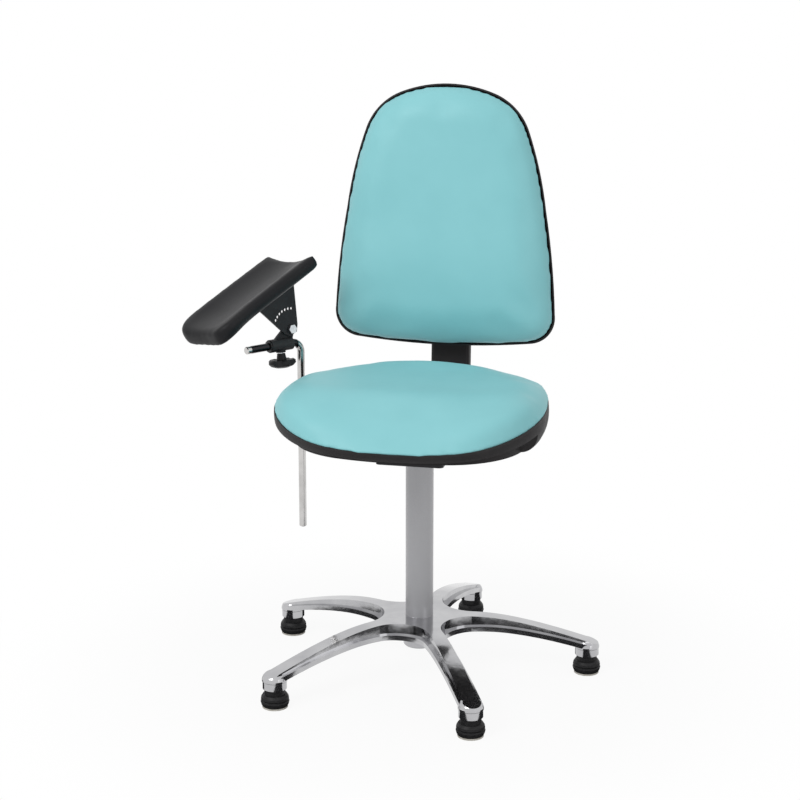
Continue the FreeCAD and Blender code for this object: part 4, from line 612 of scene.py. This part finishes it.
CAMERA_PLACE = (0.6838, -3.2470, 1.351)
CAMERA_TILT, CAMERA_HEADING = 75.75, 12.5
CAMERA_LENS = 87.2
FLOOR_RADIUS = 34.0
FADE_START, FADE_END, FADE_NEAR_SHARE = 0.35, 0.85, 0.92
MAT_RADIUS, MAT_WIDTH, MAT_HEIGHT = 0.38, 0.13, 2 * MM
ROOM_LIGHT = 0.48


def add_camera():
    """The photograph's view: from the front, a little above and from the sitter's left."""
    camera = bpy.data.cameras.new("camera")
    camera.lens = CAMERA_LENS
    camera.sensor_width = 36.0
    camera.clip_end = 60.0
    stand = bpy.data.objects.new("camera", camera)
    stand.location = CAMERA_PLACE
    stand.rotation_euler = (math.radians(CAMERA_TILT), 0.0, math.radians(CAMERA_HEADING))
    bpy.context.scene.collection.objects.link(stand)
    bpy.context.scene.camera = stand


def white_seen_directly(tree):
    """1 for the eye, mirrors and glass, so that the ground reads white without more light."""
    path = tree.nodes.new("ShaderNodeLightPath")
    eye_or_mirror = tree.nodes.new("ShaderNodeMath")
    eye_or_mirror.operation = "MAXIMUM"
    tree.links.new(path.outputs["Is Camera Ray"], eye_or_mirror.inputs[0])
    tree.links.new(path.outputs["Is Glossy Ray"], eye_or_mirror.inputs[1])
    seen = tree.nodes.new("ShaderNodeMath")
    seen.operation = "MAXIMUM"
    tree.links.new(eye_or_mirror.outputs[0], seen.inputs[0])
    tree.links.new(path.outputs["Is Transmission Ray"], seen.inputs[1])
    return seen.outputs[0]


def add_floor():
    """A pale floor that fades to plain white away from the chair and keeps the chair's shadow."""
    bpy.ops.mesh.primitive_circle_add(vertices=96, radius=FLOOR_RADIUS, fill_type="NGON")
    floor = bpy.context.object
    floor.name = "floor"
    finish = bpy.data.materials.new("floor_white")
    finish.use_nodes = True
    tree = finish.node_tree
    tree.nodes.clear()
    output = tree.nodes.new("ShaderNodeOutputMaterial")
    paper = tree.nodes.new("ShaderNodeBsdfDiffuse")
    paper.inputs["Color"].default_value = (0.86, 0.86, 0.86, 1.0)
    glow = tree.nodes.new("ShaderNodeEmission")
    seen = white_seen_directly(tree)
    place = tree.nodes.new("ShaderNodeTexCoord")
    far = tree.nodes.new("ShaderNodeVectorMath")
    far.operation = "LENGTH"
    tree.links.new(place.outputs["Object"], far.inputs[0])
    fade = tree.nodes.new("ShaderNodeMapRange")
    fade.inputs["From Min"].default_value = FADE_START
    fade.inputs["From Max"].default_value = FADE_END
    fade.inputs["To Min"].default_value = FADE_NEAR_SHARE
    fade.inputs["To Max"].default_value = 1.0
    fade.interpolation_type = "SMOOTHSTEP"
    tree.links.new(far.outputs["Value"], fade.inputs["Value"])
    share = tree.nodes.new("ShaderNodeMath")
    share.operation = "MULTIPLY"
    tree.links.new(seen, share.inputs[0])
    tree.links.new(fade.outputs["Result"], share.inputs[1])
    mix = tree.nodes.new("ShaderNodeMixShader")
    tree.links.new(share.outputs[0], mix.inputs[0])
    tree.links.new(paper.outputs[0], mix.inputs[1])
    tree.links.new(glow.outputs[0], mix.inputs[2])
    tree.links.new(mix.outputs[0], output.inputs["Surface"])
    floor.data.materials.append(finish)


def add_world(level):
    """Even room light, seen as white by the eye, mirrors and glass."""
    world = bpy.data.worlds.new("room")
    bpy.context.scene.world = world
    world.use_nodes = True
    tree = world.node_tree
    ground = tree.nodes["Background"]
    ground.inputs["Color"].default_value = (1.0, 1.0, 1.0, 1.0)
    seen = white_seen_directly(tree)
    strength = tree.nodes.new("ShaderNodeMix")
    strength.inputs[2].default_value = level
    strength.inputs[3].default_value = 1.0
    tree.links.new(seen, strength.inputs[0])
    tree.links.new(strength.outputs[0], ground.inputs["Strength"])


def add_softbox(name, where, towards, width, height, watts):
    """A soft lamp at a place, turned to face another."""
    lamp = bpy.data.lights.new(name, "AREA")
    lamp.shape = "RECTANGLE"
    lamp.size = width
    lamp.size_y = height
    lamp.energy = watts
    stand = bpy.data.objects.new(name, lamp)
    stand.location = where
    aim = Vector(towards) - Vector(where)
    stand.rotation_euler = aim.to_track_quat("-Z", "Y").to_euler()
    bpy.context.scene.collection.objects.link(stand)


def add_reflected_floor_shade():
    """A black ring round the column that only reflections see, to give the polish something dark to show:
    painted shade of the floor under the chair, seen in reflection only.
    """
    deselected()
    bpy.ops.mesh.primitive_circle_add(
        vertices=96, radius=MAT_RADIUS, fill_type="NGON", location=(0.0, 0.0, MAT_HEIGHT))
    mat = bpy.context.object
    mat.name = "reflected_floor_shade_ring"
    bpy.ops.object.transform_apply(location=True, rotation=False, scale=False)
    bpy.ops.object.mode_set(mode="EDIT")
    bpy.ops.mesh.select_all(action="SELECT")
    bpy.ops.mesh.inset(thickness=MAT_WIDTH)
    bpy.ops.mesh.delete(type="FACE")
    bpy.ops.object.mode_set(mode="OBJECT")
    # Near-black colour of the ring: painted floor shade for the polish to reflect.
    shade_finish = bpy.data.materials.new("reflected_floor_shade_finish")
    shade_finish.use_nodes = True
    shader = shade_finish.node_tree.nodes["Principled BSDF"]
    shader.inputs["Base Color"].default_value = (0.045, 0.045, 0.048, 1.0)
    shader.inputs["Roughness"].default_value = 1.0
    shader.inputs["Specular IOR Level"].default_value = 0.0
    mat.data.materials.append(shade_finish)
    mat.visible_camera = False
    mat.visible_diffuse = False
    mat.visible_shadow = False
    mat.visible_transmission = False


add_camera()
add_floor()
add_world(ROOM_LIGHT)
add_softbox("key", (-1.5, -2.5, 2.6), (0.0, 0.0, 0.5), 1.8, 1.4, 48.0)
add_softbox("fill", (2.6, -1.6, 1.6), (0.0, 0.0, 0.5), 1.6, 1.6, 9.0)
add_softbox("top", (0.0, -0.3, 3.2), (0.0, 0.0, 0.3), 2.2, 2.2, 9.0)
add_reflected_floor_shade()

bpy.context.scene.view_settings.view_transform = "Standard"
